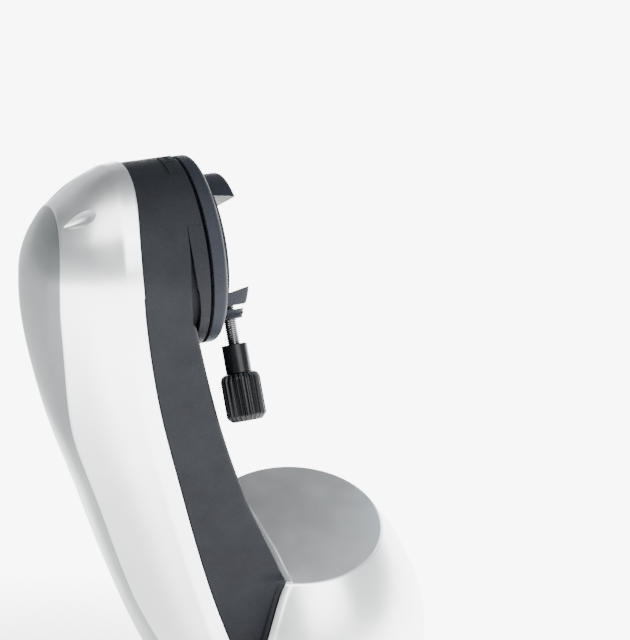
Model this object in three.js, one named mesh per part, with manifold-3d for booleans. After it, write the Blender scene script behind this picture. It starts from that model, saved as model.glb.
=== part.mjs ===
// Single-arm computerised alt-azimuth mount head.
// Millimetres, +Z up. The azimuth axis is the Z axis and the base rests on z = 0.
// The altitude axis is parallel to X at height ALTITUDE_Z. The arm stands on the -X side
// and the saddle faces +X. A tube in the saddle looks towards -Y, raised by REST_ALTITUDE.

import * as THREE from 'three';
import { mergeVertices } from 'three/addons/utils/BufferGeometryUtils.js';
import Module from 'manifold-3d';

const wasm = await Module();
wasm.setup();

// ---- driving dimensions -------------------------------------------------------------

const GAP = 0.3; // between pieces that touch
const WALL = 3; // moulded shells
const CAST_WALL = 4; // side walls of the casting
const CAST_WEB = 8; // inner web of the casting

const ALTITUDE_Z = 320;
const REST_ALTITUDE = 30; // degrees
const HEAD_RADIUS = 56.5;
const GAP_PLANE_X = -68.7; // between the fixed boss and the turning disc
const DISC_RADIUS = 56;
const DISC_THICKNESS = 9;

const BASE_RADIUS = 87;
const BASE_THICKNESS = 10;
const BODY_BOTTOM_Z = 12; // lower edge of the turning body
const TURNTABLE_BOTTOM_Z = 24;
const TURNTABLE_TOP_Z = 30.7;

const CAP_RADIUS = 59; // facet on top of the dome
const CAP_Z = 110.7;
const CAP_TILT = 7.4; // degrees, lower at the front
const CAP_CROWN = 3.5; // rise of the facet's middle
const SKIRT_RADIUS = 89;
const SKIRT_HEIGHT = 80;
const SKIRT_POWER = 1.9;

const SHAFT_RADIUS = 10;
const BEARING_RADIUS = 19;
const BEARING_WIDTH = 9;
const GEAR_TEETH = 48;
const PINION_TEETH = 8;
const GEAR_MODULE = 1.5;
const GEAR_CENTRES = (GEAR_MODULE * (GEAR_TEETH + PINION_TEETH)) / 2 + 0.15;
const GEAR_WIDTH = 6;

const PUCK_RADIUS = 43;
const PUCK_HEIGHT = 16.5;
const GROOVE_FLOOR = 4; // puck material left under the groove
const GROOVE_TOP = { floor: 26, mouth: 23.5 }; // from the altitude axis
const GROOVE_BOTTOM = { floor: 31, mouth: 28.5 };
const JAW_THICKNESS = 5;
const JAW_HALF_LENGTH = 20;
const JAW_TRAVEL = 3.5;
const SCREW_RADIUS = 4; // M8
const SCREW_X = 20.4; // from the gap plane
const BOSS_END = 45; // distances from the altitude axis along the clamp screw
const NECK_START = 60;
const BARREL_START = 77;
const BARREL_END = 106;
const NECK_RADIUS = 7.7;
const BARREL_RADIUS = 12;
const BARREL_RIBS = 22;

const PANEL_ANGLE = 90; // degrees from +X, on the far side of the dome
const PANEL_WIDTH = 58;
const PANEL_HEIGHT = 22;
const PANEL_RADIAL = 80.5; // outer face of the panel from the azimuth axis
const PANEL_Z = 45;

// Heights and positions along X of the arm's edges, [z, x] from the top down.
const SEAM_LEFT = [[380, -100.5], [350, -107.4], [315, -108.4], [255, -103], [194, -91.8],
  [114, -74.9], [52, -58.5]];
const INNER_FACE = [[380, -76], [345, -79.2], [318, -80.6], [289, -76.9], [229, -65],
  [173, -49.4], [101, -23.6]];
const SEAM_RIGHT_LOW = [[101, -23.6], [96.5, -28.8], [85, -35.6], [70, -43.5], [52, -53.5]];
const HIDDEN_FACE = [[101, -23.6], [52, -12], [10, -8]];
const CROWN_LINE = [[380, -151], [345, -162.4], [321, -167], [290, -167.6], [230, -158.6],
  [173, -143.8], [121, -130.6], [58, -111.5], [12, -93]];
const HALF_DEPTH = [[320, 56.5], [265, 55], [209, 52.5], [125, 51], [92, 53], [52, 63.5],
  [30, 68.5], [10, 70]];
const SEAM_LOW_X = -57; // seam between the two shells below the casting

// Sections through the outer shell: [share of the shell's depth, share of the half depth].
const HEAD_SECTION = [[0, 1.02], [0.18, 1.005], [0.46, 0.885], [0.745, 0.672], [0.86, 0.5],
  [0.93, 0.34], [0.975, 0.18]];
const ARM_SECTION = [[0, 1], [0.18, 0.985], [0.5, 0.865], [0.86, 0.6], [0.935, 0.43],
  [0.975, 0.27], [0.993, 0.13]];
const FOOT_SECTION = [[0, 1], [0.25, 0.88], [0.5, 0.71], [0.7, 0.53], [0.82, 0.38],
  [0.91, 0.25], [0.97, 0.13]];
const FOOT_SECTION_Z = 12;
const ARM_SECTION_LOW_Z = 110;
const ARM_SECTION_HIGH_Z = 215;
const HEAD_SECTION_Z = 300;

const ARM_LEVELS = 11;
const HEAD_STEPS = 14;
const DOME_STEPS = 40;
const DOME_RINGS = 7;
const LARGE_ROUND = 44; // segments of a large circle
const ROUND = 24; // of a medium one
const SMALL_ROUND = 10; // of a small one

// ---- materials ----------------------------------------------------------------------

const FINISHES = {
  silver: { color: 0xd3d6d8, roughness: 0.38, metalness: 0.35 },
  casting: { color: 0x3b3e44, roughness: 0.6, metalness: 0.3 },
  disc: { color: 0x40434c, roughness: 0.55, metalness: 0.3 },
  plastic: { color: 0x151618, roughness: 0.5, metalness: 0 },
  steel: { color: 0xb4b7ba, roughness: 0.3, metalness: 0.9 },
  brass: { color: 0xb08d4a, roughness: 0.4, metalness: 0.9 },
  rubber: { color: 0x1d1d1d, roughness: 0.9, metalness: 0 },
  board: { color: 0x1c5a33, roughness: 0.5, metalness: 0.1 },
  lamp: { color: 0xa01818, roughness: 0.2, metalness: 0 },
};

// ---- solids ---------------------------------------------------------------------------

function signedVolume(position, index) {
  const a = new THREE.Vector3();
  const b = new THREE.Vector3();
  const c = new THREE.Vector3();
  let volume = 0;
  for (let i = 0; i < index.length; i += 3) {
    a.fromBufferAttribute(position, index[i]);
    b.fromBufferAttribute(position, index[i + 1]);
    c.fromBufferAttribute(position, index[i + 2]);
    volume += a.dot(b.cross(c)) / 6;
  }
  return volume;
}

// One closed surface: shared vertices merged, flat triangles dropped, faces pointing out.
function weld(geometry) {
  const bare = geometry.clone();
  for (const name of ['normal', 'uv']) {
    if (bare.attributes[name]) bare.deleteAttribute(name);
  }
  const merged = mergeVertices(bare, 1e-3);
  const source = merged.index.array;
  const index = [];
  for (let i = 0; i < source.length; i += 3) {
    const [a, b, c] = [source[i], source[i + 1], source[i + 2]];
    if (a !== b && b !== c && c !== a) index.push(a, b, c);
  }
  if (signedVolume(merged.attributes.position, index) < 0) {
    index.reverse();
  }
  merged.setIndex(index);
  return merged;
}

function solid(geometry) {
  const welded = weld(geometry);
  const mesh = new wasm.Mesh({
    numProp: 3,
    vertProperties: new Float32Array(welded.attributes.position.array),
    triVerts: new Uint32Array(welded.index.array),
  });
  return new wasm.Manifold(mesh);
}

function surface(body) {
  const mesh = body.getMesh();
  const geometry = new THREE.BufferGeometry();
  geometry.setAttribute('position', new THREE.BufferAttribute(mesh.vertProperties, 3));
  geometry.setIndex(new THREE.BufferAttribute(mesh.triVerts, 1));
  return geometry;
}

function join(...bodies) {
  return bodies.reduce((sum, body) => sum.add(body));
}

function cut(body, ...tools) {
  return tools.reduce((rest, tool) => rest.subtract(tool), body);
}

// ---- basic shapes -----------------------------------------------------------------------

function box(xs, ys, zs) {
  const shape = new THREE.BoxGeometry(xs[1] - xs[0], ys[1] - ys[0], zs[1] - zs[0]);
  return shape.translate((xs[0] + xs[1]) / 2, (ys[0] + ys[1]) / 2, (zs[0] + zs[1]) / 2);
}

// A profile of [radius, height] points turned about the Z axis.
function turned(profile, segments = ROUND) {
  const points = profile.map(([radius, height]) => new THREE.Vector2(radius, height));
  return new THREE.LatheGeometry(points, segments).rotateX(Math.PI / 2);
}

// The same about the X axis: [radius, x] points.
function turnedAlongX(profile, segments = ROUND) {
  const points = profile.map(([radius, x]) => new THREE.Vector2(radius, x));
  return new THREE.LatheGeometry(points, segments).rotateZ(-Math.PI / 2);
}

function rod(radius, low, high) {
  return [[0, low], [radius, low], [radius, high], [0, high]];
}

function ring(inner, outer, low, high) {
  return [[inner, low], [outer, low], [outer, high], [inner, high], [inner, low]];
}

function rodAlongX(radius, low, high, y, z, segments = SMALL_ROUND) {
  return turnedAlongX(rod(radius, low, high), segments).translate(0, y, z);
}

function rodAlongZ(radius, low, high, x, y, segments = SMALL_ROUND) {
  return turned(rod(radius, low, high), segments).translate(x, y, 0);
}

function polygon(points) {
  return new THREE.Shape(points.map(([u, v]) => new THREE.Vector2(u, v)));
}

// An outline in the XZ plane, [x, z] points, running through y0 to y1.
function slab(points, y0, y1) {
  const shape = new THREE.ExtrudeGeometry(polygon(points), { depth: y1 - y0, bevelEnabled: false });
  return shape.rotateX(Math.PI / 2).translate(0, y1, 0);
}

// Position along X as a smooth function of height, through [z, x] points.
function smooth(points) {
  const ends = points.map(([z, x]) => new THREE.Vector3(x, 0, z));
  const curve = new THREE.CatmullRomCurve3(ends, false, 'centripetal');
  const samples = curve.getPoints(points.length * 16).sort((a, b) => a.z - b.z);
  return (z) => {
    const next = samples.findIndex((sample) => sample.z >= z);
    if (next <= 0) return next < 0 ? samples.at(-1).x : samples[0].x;
    const [a, b] = [samples[next - 1], samples[next]];
    return THREE.MathUtils.mapLinear(z, a.z, b.z, a.x, b.x);
  };
}

const seamLeft = smooth(SEAM_LEFT);
const innerFace = smooth(INNER_FACE);
const seamRightLow = smooth(SEAM_RIGHT_LOW);
const hiddenFace = smooth(HIDDEN_FACE);
const crownLine = smooth(CROWN_LINE);
const halfDepth = smooth(HALF_DEPTH);

// ---- the turning body -------------------------------------------------------------------

function sectionAt(z) {
  const { smoothstep, lerp } = THREE.MathUtils;
  const low = smoothstep(z, FOOT_SECTION_Z, ARM_SECTION_LOW_Z);
  const high = smoothstep(z, ARM_SECTION_HIGH_Z, HEAD_SECTION_Z);
  return ARM_SECTION.map(([depth, half], i) => {
    const foot = FOOT_SECTION[i];
    const head = HEAD_SECTION[i];
    return [
      lerp(lerp(foot[0], depth, low), head[0], high),
      lerp(lerp(foot[1], half, low), head[1], high),
    ];
  });
}

function armFace(z) {
  return z < INNER_FACE.at(-1)[0] ? hiddenFace(z) : innerFace(z);
}

// Arm and head with the skin moved in by `inset`. A row of points runs from the middle of
// the inner face over the edge to the crown; rows climb the front, pass over the head and
// come down the rear.
function armGeometry(inset, bottom) {
  const rows = [];
  const xAt = (share, z) => seamLeft(z) - share * (seamLeft(z) - crownLine(z) - inset);
  const levels = Array.from({ length: ARM_LEVELS + 1 }, (_, i) => (
    THREE.MathUtils.lerp(bottom, ALTITUDE_Z, i / ARM_LEVELS)));
  const straightRow = (z, side) => {
    const depth = halfDepth(z) - inset;
    const skin = sectionAt(z).map(([share, half]) => [xAt(share, z), side * half * depth, z]);
    return [[armFace(z), 0, z], [armFace(z), side * depth, z], ...skin, [xAt(1, z), 0, z]];
  };
  const headRow = (angle) => {
    const place = (radius, xOf) => {
      const z = ALTITUDE_Z + radius * Math.sin(angle);
      return [xOf(z), -radius * Math.cos(angle), z];
    };
    const depth = HEAD_RADIUS - inset;
    const skin = sectionAt(ALTITUDE_Z).map(([share, half]) => (
      place(half * depth, (z) => xAt(share, z))));
    return [place(0, armFace), place(depth, armFace), ...skin, place(0, (z) => xAt(1, z))];
  };
  levels.forEach((z) => rows.push(straightRow(z, -1)));
  for (let i = 1; i < HEAD_STEPS; i += 1) {
    rows.push(headRow((Math.PI * i) / HEAD_STEPS));
  }
  levels.reverse().forEach((z) => rows.push(straightRow(z, 1)));
  return gridGeometry(rows, true);
}

// A closed surface over rows of points; the last row is joined back to the first.
function gridGeometry(rows, closed) {
  const width = rows[0].length;
  const index = [];
  const count = closed ? rows.length : rows.length - 1;
  for (let j = 0; j < count; j += 1) {
    const here = j * width;
    const next = ((j + 1) % rows.length) * width;
    for (let i = 0; i < width - 1; i += 1) {
      index.push(here + i, next + i, here + i + 1);
      index.push(here + i + 1, next + i, next + i + 1);
    }
  }
  const geometry = new THREE.BufferGeometry();
  geometry.setAttribute('position', new THREE.Float32BufferAttribute(rows.flat(2), 3));
  geometry.setIndex(index);
  return geometry;
}

// Radius of the dome at a distance below the rim of its cap.
function skirtRadius(height) {
  const share = THREE.MathUtils.clamp(height / SKIRT_HEIGHT, 0, 1);
  return THREE.MathUtils.lerp(CAP_RADIUS, SKIRT_RADIUS, 1 - (1 - share) ** SKIRT_POWER);
}

// Dome with the skin moved in by `inset`: level rings at the foot that lean towards the
// tilt of the cap, and the slightly crowned facet.
function domeGeometry(inset, bottom) {
  const slope = Math.tan(THREE.MathUtils.degToRad(CAP_TILT));
  const rings = [[0, bottom, 0], [SKIRT_RADIUS - inset, bottom, 0]];
  for (let i = 0; i <= DOME_RINGS; i += 1) {
    const fall = SKIRT_HEIGHT * (1 - i / DOME_RINGS) ** 1.6;
    rings.push([skirtRadius(fall) - inset, CAP_Z - fall, slope * (1 - fall / SKIRT_HEIGHT)]);
  }
  for (const share of [0.86, 0.6, 0.3, 0]) {
    const crown = CAP_CROWN * (1 - share * share) - inset;
    rings.push([share * (CAP_RADIUS - inset), CAP_Z + crown, slope]);
  }
  const rows = [];
  for (let j = 0; j < DOME_STEPS; j += 1) {
    const angle = (2 * Math.PI * j) / DOME_STEPS;
    rows.push(rings.map(([radius, z, lean]) => {
      const y = radius * Math.sin(angle);
      return [radius * Math.cos(angle), y, z + lean * y];
    }));
  }
  return gridGeometry(rows, true);
}

function edgeLine(line, high, low, steps, shift) {
  return Array.from({ length: steps + 1 }, (_, i) => {
    const z = THREE.MathUtils.lerp(high, low, i / steps);
    return [line(z) + shift, z];
  });
}

const SPAN = 120; // half length of the cutting slabs along Y
const TOP = 400;
const CORNER_Z = SEAM_RIGHT_LOW[0][0];
const SPLIT_Z = SEAM_RIGHT_LOW.at(-1)[0];
const LOW = -10;

const leftOfCasting = solid(slab([
  ...edgeLine(seamLeft, TOP, SPLIT_Z, 24, -GAP / 2),
  [SEAM_LOW_X - GAP / 2, SPLIT_Z], [SEAM_LOW_X - GAP / 2, LOW], [-250, LOW], [-250, TOP],
], -SPAN, SPAN));

const castingBand = solid(slab([
  ...edgeLine(seamLeft, TOP, SPLIT_Z + GAP, 24, GAP / 2),
  ...edgeLine(seamRightLow, SPLIT_Z + GAP, CORNER_Z, 8, -GAP / 2),
  ...edgeLine(innerFace, CORNER_Z + 1, TOP, 24, -GAP / 2),
], -SPAN, SPAN));

const rightOfCasting = solid(slab([
  [SEAM_LOW_X + GAP / 2, LOW], [SEAM_LOW_X + GAP / 2, SPLIT_Z],
  ...edgeLine(seamRightLow, SPLIT_Z, CORNER_Z, 8, GAP / 2),
  ...edgeLine(innerFace, CORNER_Z + 1, CORNER_Z + 40, 6, GAP / 2),
  [250, CORNER_Z + 40], [250, LOW],
], -SPAN, SPAN));

const leftOfWeb = solid(slab([
  ...edgeLine(innerFace, TOP, CORNER_Z + 1, 24, -CAST_WEB),
  ...edgeLine(seamRightLow, CORNER_Z, SPLIT_Z, 8, -CAST_WEB),
  [-250, SPLIT_Z], [-250, TOP],
], -SPAN, SPAN));

const domeBody = solid(domeGeometry(0, BODY_BOTTOM_Z));
const domeSpace = solid(domeGeometry(WALL, BODY_BOTTOM_Z - 5));
const armBody = solid(armGeometry(0, BODY_BOTTOM_Z));
const armSpace = solid(armGeometry(WALL, BODY_BOTTOM_Z - 1));
const castSpace = solid(armGeometry(CAST_WALL, BODY_BOTTOM_Z - 1)).intersect(leftOfWeb);
const wholeBody = armBody.add(domeBody);
const wholeSpace = armSpace.add(domeSpace);

// ---- positions shared by several pieces ----------------------------------------------------

const SHELL_SCREWS = [[136, -20], [190, 18], [236, -18]]; // z, y on the inner face
const DOME_SCREW_ANGLES = [-70, -20, 38];
const DOME_SCREW_RADIUS = 68;
const FRONT_BEARING_X = GAP_PLANE_X - 12;
const REAR_BEARING_X = -104.5;
const GEAR_X = -115;
const GEARBOX_X = -137;
const ALT_PINION_Z = ALTITUDE_Z - GEAR_CENTRES;
const SCREW_HEAD_RADIUS = 3.6;
const SCREW_HEAD_DEPTH = 3;
const SHANK_RADIUS = 1.6;

function around(angle, radius) {
  const turn = THREE.MathUtils.degToRad(angle);
  return [radius * Math.cos(turn), radius * Math.sin(turn)];
}

// A cap screw along X with its head towards +X, standing in the plane x = 0.
function screwAlongX(length) {
  return turnedAlongX([[0, -length], [SHANK_RADIUS, -length], [SHANK_RADIUS, -SCREW_HEAD_DEPTH],
    [SCREW_HEAD_RADIUS, -SCREW_HEAD_DEPTH], [SCREW_HEAD_RADIUS, 0], [1.6, 0], [0, -1.6]],
  SMALL_ROUND);
}

// ---- shells and casting ----------------------------------------------------------------------

function outerShell() {
  let shell = wholeBody.intersect(leftOfCasting).subtract(wholeSpace);
  const inside = solid(armGeometry(1, BODY_BOTTOM_Z));
  for (const [z, y] of SHELL_SCREWS) {
    const end = innerFace(z) - CAST_WEB - 4;
    const post = solid(rodAlongX(5, -170, end, y, z)).intersect(inside);
    const bore = solid(rodAlongX(SHANK_RADIUS + GAP, end - 16, end + 1, y, z, 12));
    shell = shell.add(post).subtract(bore);
  }
  return shell;
}

function domeShell() {
  let shell = domeBody.intersect(rightOfCasting).subtract(domeSpace);
  const inside = solid(domeGeometry(1, BODY_BOTTOM_Z));
  for (const angle of DOME_SCREW_ANGLES) {
    const [x, y] = around(angle, DOME_SCREW_RADIUS);
    const post = solid(rodAlongZ(5, TURNTABLE_TOP_Z + GAP, CAP_Z + 20, x, y)).intersect(inside);
    const bore = solid(rodAlongZ(SHANK_RADIUS + GAP, TURNTABLE_TOP_Z, 48, x, y, 12));
    shell = shell.add(post).subtract(bore);
  }
  const window = box([PANEL_RADIAL - 12, SKIRT_RADIUS + 5],
    [-PANEL_WIDTH / 2, PANEL_WIDTH / 2], [PANEL_Z - PANEL_HEIGHT / 2, PANEL_Z + PANEL_HEIGHT / 2]);
  return shell.subtract(solid(window.rotateZ(THREE.MathUtils.degToRad(PANEL_ANGLE))));
}

function armCasting() {
  const hub = solid(rodAlongX(BEARING_RADIUS + 6, REAR_BEARING_X - 2, -82, 0, ALTITUDE_Z, ROUND));
  const boss = solid(rodAlongX(DISC_RADIUS, -86, GAP_PLANE_X - 1, 0, ALTITUDE_Z, LARGE_ROUND));
  const moat = solid(turnedAlongX([[52, -81], [59, -81], [59, -60], [56.3, -60],
    [56.3, -77.2], [52, -77.2], [52, -81]], LARGE_ROUND).translate(0, 0, ALTITUDE_Z));
  const lowerHalf = solid(box([-90, -50], [-70, 70], [250, ALTITUDE_Z + 2]));
  const foot = solid(box([-62, -34], [-34, 34], [TURNTABLE_TOP_Z + GAP, 72]));
  let casting = wholeBody.intersect(castingBand).subtract(castSpace);
  casting = join(casting, hub.subtract(moat), boss, foot);
  casting = cut(
    casting,
    moat.intersect(lowerHalf),
    solid(rodAlongX(SHAFT_RADIUS + 3, -130, -50, 0, ALTITUDE_Z, ROUND)),
    solid(rodAlongX(BEARING_RADIUS + GAP, FRONT_BEARING_X, -50, 0, ALTITUDE_Z, ROUND)),
    solid(rodAlongX(BEARING_RADIUS + GAP, -130, REAR_BEARING_X + BEARING_WIDTH, 0, ALTITUDE_Z, ROUND)),
  );
  for (const [z, y] of SHELL_SCREWS) {
    const face = innerFace(z);
    const hole = solid(rodAlongX(SHANK_RADIUS + GAP, face - 30, face + 5, y, z, 12));
    const seat = solid(rodAlongX(SCREW_HEAD_RADIUS + 0.5, face - SCREW_HEAD_DEPTH - 2, face + 9, y, z));
    casting = cut(casting, hole, seat);
  }
  return casting;
}

// A raised arc over the head, carrying a zero mark and a short row of ticks.
function indexPlate() {
  const under = HEAD_RADIUS + GAP + 0.2;
  const arc = turnedAlongX([[under, -79], [HEAD_RADIUS + 1.8, -79],
    [HEAD_RADIUS + 1.8, -70.5], [under, -70.5], [under, -79]], 2 * LARGE_ROUND);
  const reach = 80;
  const half = reach * Math.tan(THREE.MathUtils.degToRad(15));
  const sector = new THREE.ExtrudeGeometry(polygon([[0, 0], [half, reach], [-half, reach]]),
    { depth: 40, bevelEnabled: false });
  sector.rotateX(Math.PI / 2).rotateZ(-Math.PI / 2).translate(-55, 0, 0);
  let plate = solid(arc).intersect(solid(sector));
  for (const angle of [-10, -5, 0, 5, 10]) {
    const tall = angle === 0 ? 6 : 3.5;
    const tick = box([-75 - tall / 2, -75 + tall / 2], [-0.35, 0.35],
      [HEAD_RADIUS + 1, HEAD_RADIUS + 2.3]);
    plate = plate.add(solid(tick.rotateX(THREE.MathUtils.degToRad(angle))));
  }
  return surface(plate).translate(0, 0, ALTITUDE_Z);
}

// ---- base -------------------------------------------------------------------------------------

const INSERT_RADIUS = 12;
const PAD_RADIUS = 9;
const PAD_DEPTH = 2.2;
const PAD_CIRCLE = 66;
const SPINDLE_SCREW_CIRCLE = 18;
const FLANGE_TOP_Z = 14;
const RING_GEAR_BORE = 25;

function basePlate() {
  let plate = solid(turned([[0, 0], [BASE_RADIUS - 3, 0], [BASE_RADIUS, 3],
    [BASE_RADIUS, BASE_THICKNESS - 1], [BASE_RADIUS - 1, BASE_THICKNESS], [0, BASE_THICKNESS]],
  LARGE_ROUND));
  plate = plate.subtract(solid(rodAlongZ(INSERT_RADIUS + GAP, -1, BASE_THICKNESS + 1, 0, 0, 24)));
  for (const angle of [90, 210, 330]) {
    const [padX, padY] = around(angle, PAD_CIRCLE);
    const [x, y] = around(angle, SPINDLE_SCREW_CIRCLE);
    plate = cut(
      plate,
      solid(rodAlongZ(PAD_RADIUS + GAP, -1, PAD_DEPTH + GAP, padX, padY, 24)),
      solid(rodAlongZ(SHANK_RADIUS + GAP, 3, BASE_THICKNESS + 1, x, y, 12)),
    );
  }
  return plate;
}

function spindle() {
  let body = solid(turned([[0, BASE_THICKNESS + GAP], [24, BASE_THICKNESS + GAP],
    [24, FLANGE_TOP_Z], [13, FLANGE_TOP_Z], [13, TURNTABLE_BOTTOM_Z + GAP],
    [SHAFT_RADIUS, TURNTABLE_BOTTOM_Z + GAP], [SHAFT_RADIUS, 63], [SHAFT_RADIUS - 1, 64], [0, 64]]));
  for (const angle of [90, 210, 330]) {
    const [x, y] = around(angle, SPINDLE_SCREW_CIRCLE);
    body = body.subtract(solid(rodAlongZ(SHANK_RADIUS + GAP, 9, FLANGE_TOP_Z + 1, x, y, 12)));
  }
  return body;
}

// Straight-flanked spur gear about Z between two heights.
function gear(teeth, bore, low, high, phase) {
  const pitch = (GEAR_MODULE * teeth) / 2;
  const outline = [];
  const step = (2 * Math.PI) / teeth;
  const corners = [[-0.33, -1.6], [-0.14, 1.2], [0.14, 1.2], [0.33, -1.6]];
  for (let tooth = 0; tooth < teeth; tooth += 1) {
    for (const [share, rise] of corners) {
      const angle = (tooth + share) * step + phase;
      outline.push([(pitch + rise) * Math.cos(angle), (pitch + rise) * Math.sin(angle)]);
    }
  }
  const shape = polygon(outline);
  shape.holes.push(new THREE.Path().absarc(0, 0, bore, 0, 2 * Math.PI, true));
  const settings = { depth: high - low, bevelEnabled: false, curveSegments: 24 };
  return new THREE.ExtrudeGeometry(shape, settings).translate(0, 0, low);
}

function hexNut(across, bore, low, high) {
  const shape = polygon(Array.from({ length: 6 }, (_, i) => around(60 * i, across / Math.sqrt(3))));
  shape.holes.push(new THREE.Path().absarc(0, 0, bore, 0, 2 * Math.PI, true));
  const settings = { depth: high - low, bevelEnabled: false, curveSegments: 24 };
  return new THREE.ExtrudeGeometry(shape, settings).translate(0, 0, low);
}

// ---- turntable and drives ------------------------------------------------------------------------

const HUB_RADIUS = 24;
const HUB_TOP_Z = 53;

function turntable() {
  let plate = solid(turned([[BEARING_RADIUS + GAP, TURNTABLE_BOTTOM_Z],
    [SKIRT_RADIUS - WALL - 0.7, TURNTABLE_BOTTOM_Z], [SKIRT_RADIUS - WALL - 0.7, TURNTABLE_TOP_Z],
    [HUB_RADIUS, TURNTABLE_TOP_Z], [HUB_RADIUS, HUB_TOP_Z], [BEARING_RADIUS + GAP, HUB_TOP_Z],
    [BEARING_RADIUS + GAP, TURNTABLE_BOTTOM_Z + 11], [SHAFT_RADIUS + 4, TURNTABLE_BOTTOM_Z + 11],
    [SHAFT_RADIUS + 4, TURNTABLE_BOTTOM_Z + 10], [BEARING_RADIUS + GAP, TURNTABLE_BOTTOM_Z + 10],
    [BEARING_RADIUS + GAP, TURNTABLE_BOTTOM_Z]], ROUND + SMALL_ROUND));
  const shaftHole = solid(rodAlongZ(3.5, 20, 35, GEAR_CENTRES, 0));
  plate = plate.subtract(shaftHole);
  for (const angle of DOME_SCREW_ANGLES) {
    const [x, y] = around(angle, DOME_SCREW_RADIUS);
    plate = cut(
      plate,
      solid(rodAlongZ(SHANK_RADIUS + GAP, 20, 35, x, y, 12)),
      solid(rodAlongZ(SCREW_HEAD_RADIUS + 2 * GAP, 20,
        TURNTABLE_BOTTOM_Z + SCREW_HEAD_DEPTH + GAP, x, y)),
    );
  }
  return plate;
}

// Geared motor about +Z: a flat gearbox at z = 0 to 17 and the motor can behind it.
function gearbox() {
  const outline = new THREE.Shape();
  outline.absarc(0, 0, 17, 0, 2 * Math.PI, false);
  const settings = { depth: 16, bevelEnabled: true, bevelThickness: 0.5, bevelSize: 0.5,
    bevelOffset: -0.5, bevelSegments: 1, curveSegments: 20 };
  return new THREE.ExtrudeGeometry(outline, settings).translate(0, 0, 0.5);
}

function motorCan() {
  return turned([[0, 0], [12.2, 0], [12.7, 0.5], [12.7, 18.5], [12.2, 19], [4, 19], [4, 20.5],
    [0, 20.5]], 28);
}

function pinion(length) {
  return solid(gear(PINION_TEETH, 0.5, 0, GEAR_WIDTH + 1, Math.PI / PINION_TEETH))
    .add(solid(rodAlongZ(2, 0.5, length, 0, 0, 12)));
}

function motorBracket() {
  const plateX = GEARBOX_X + 17.6;
  let bracket = solid(box([plateX, plateX + 1.8], [-20, 20], [ALT_PINION_Z - 28, ALT_PINION_Z + 19]));
  for (const side of [-1, 1]) {
    const web = innerFace(ALT_PINION_Z - 24) - CAST_WEB - 4;
    bracket = bracket.add(solid(rodAlongX(4, plateX + 1, web, side * 15, ALT_PINION_Z - 23)));
  }
  return bracket.subtract(solid(rodAlongX(6, -140, -100, 0, ALT_PINION_Z, 20)));
}

function controlBoard() {
  const x = -100;
  return join(
    solid(box([x, x + 1.6], [-25, 25], [143, 182])),
    solid(box([x - 2.2, x + 0.1], [-8, 8], [156, 172])),
    solid(box([x - 9, x + 0.1], [-22, -12], [146, 156])),
    solid(rodAlongX(4, x - 11, x + 0.1, 16, 152)),
    solid(rodAlongX(4, x - 11, x + 0.1, -16, 172)),
  );
}

// ---- altitude head --------------------------------------------------------------------------------

const DISC_X = GAP_PLANE_X + 1;
const PUCK_X = DISC_X + DISC_THICKNESS + GAP;
const FACE_X = PUCK_X + PUCK_HEIGHT;
const FLOOR_X = PUCK_X + GROOVE_FLOOR;
const CLAMP_X = GAP_PLANE_X + SCREW_X;
const SADDLE_SCREWS = [[-14, 12], [14, 12], [0, -17]]; // y, z from the altitude axis
const JAW_BACK = GROOVE_BOTTOM.floor + JAW_THICKNESS;
const POCKET_END = JAW_BACK + JAW_TRAVEL + 0.5;

function altitudeDisc() {
  let disc = solid(turnedAlongX([[SHAFT_RADIUS + GAP, DISC_X], [DISC_RADIUS - 0.6, DISC_X],
    [DISC_RADIUS, DISC_X + 0.6], [DISC_RADIUS, DISC_X + 5.5], [DISC_RADIUS - 0.9, DISC_X + 7.6],
    [DISC_RADIUS - 3.4, DISC_X + DISC_THICKNESS], [SHAFT_RADIUS + GAP, DISC_X + DISC_THICKNESS],
    [SHAFT_RADIUS + GAP, DISC_X]], LARGE_ROUND));
  for (const [y, z] of SADDLE_SCREWS) {
    disc = disc.subtract(solid(rodAlongX(SHANK_RADIUS + GAP, DISC_X + 1.5, FACE_X, y, z, 12)));
  }
  return disc;
}

function altitudeShaft() {
  return turnedAlongX([[0, -124], [SHAFT_RADIUS - 1, -124], [SHAFT_RADIUS, -123],
    [SHAFT_RADIUS, DISC_X + DISC_THICKNESS - 1], [0, DISC_X + DISC_THICKNESS - 1]]);
}

// Dovetail groove and clamp pocket as one tool, in the YZ plane of the puck.
function grooveTool() {
  const reach = 60;
  const outline = [[FLOOR_X, -GROOVE_BOTTOM.floor], [FACE_X, -GROOVE_BOTTOM.mouth],
    [FACE_X + 9, -GROOVE_BOTTOM.mouth], [FACE_X + 9, GROOVE_TOP.mouth],
    [FACE_X, GROOVE_TOP.mouth], [FLOOR_X, GROOVE_TOP.floor]];
  const groove = solid(slab(outline, -reach, reach));
  const pocket = solid(box([FLOOR_X, FACE_X + 9], [-JAW_HALF_LENGTH - GAP, JAW_HALF_LENGTH + GAP],
    [-POCKET_END, -GROOVE_BOTTOM.mouth + 3]));
  return groove.add(pocket);
}

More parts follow.
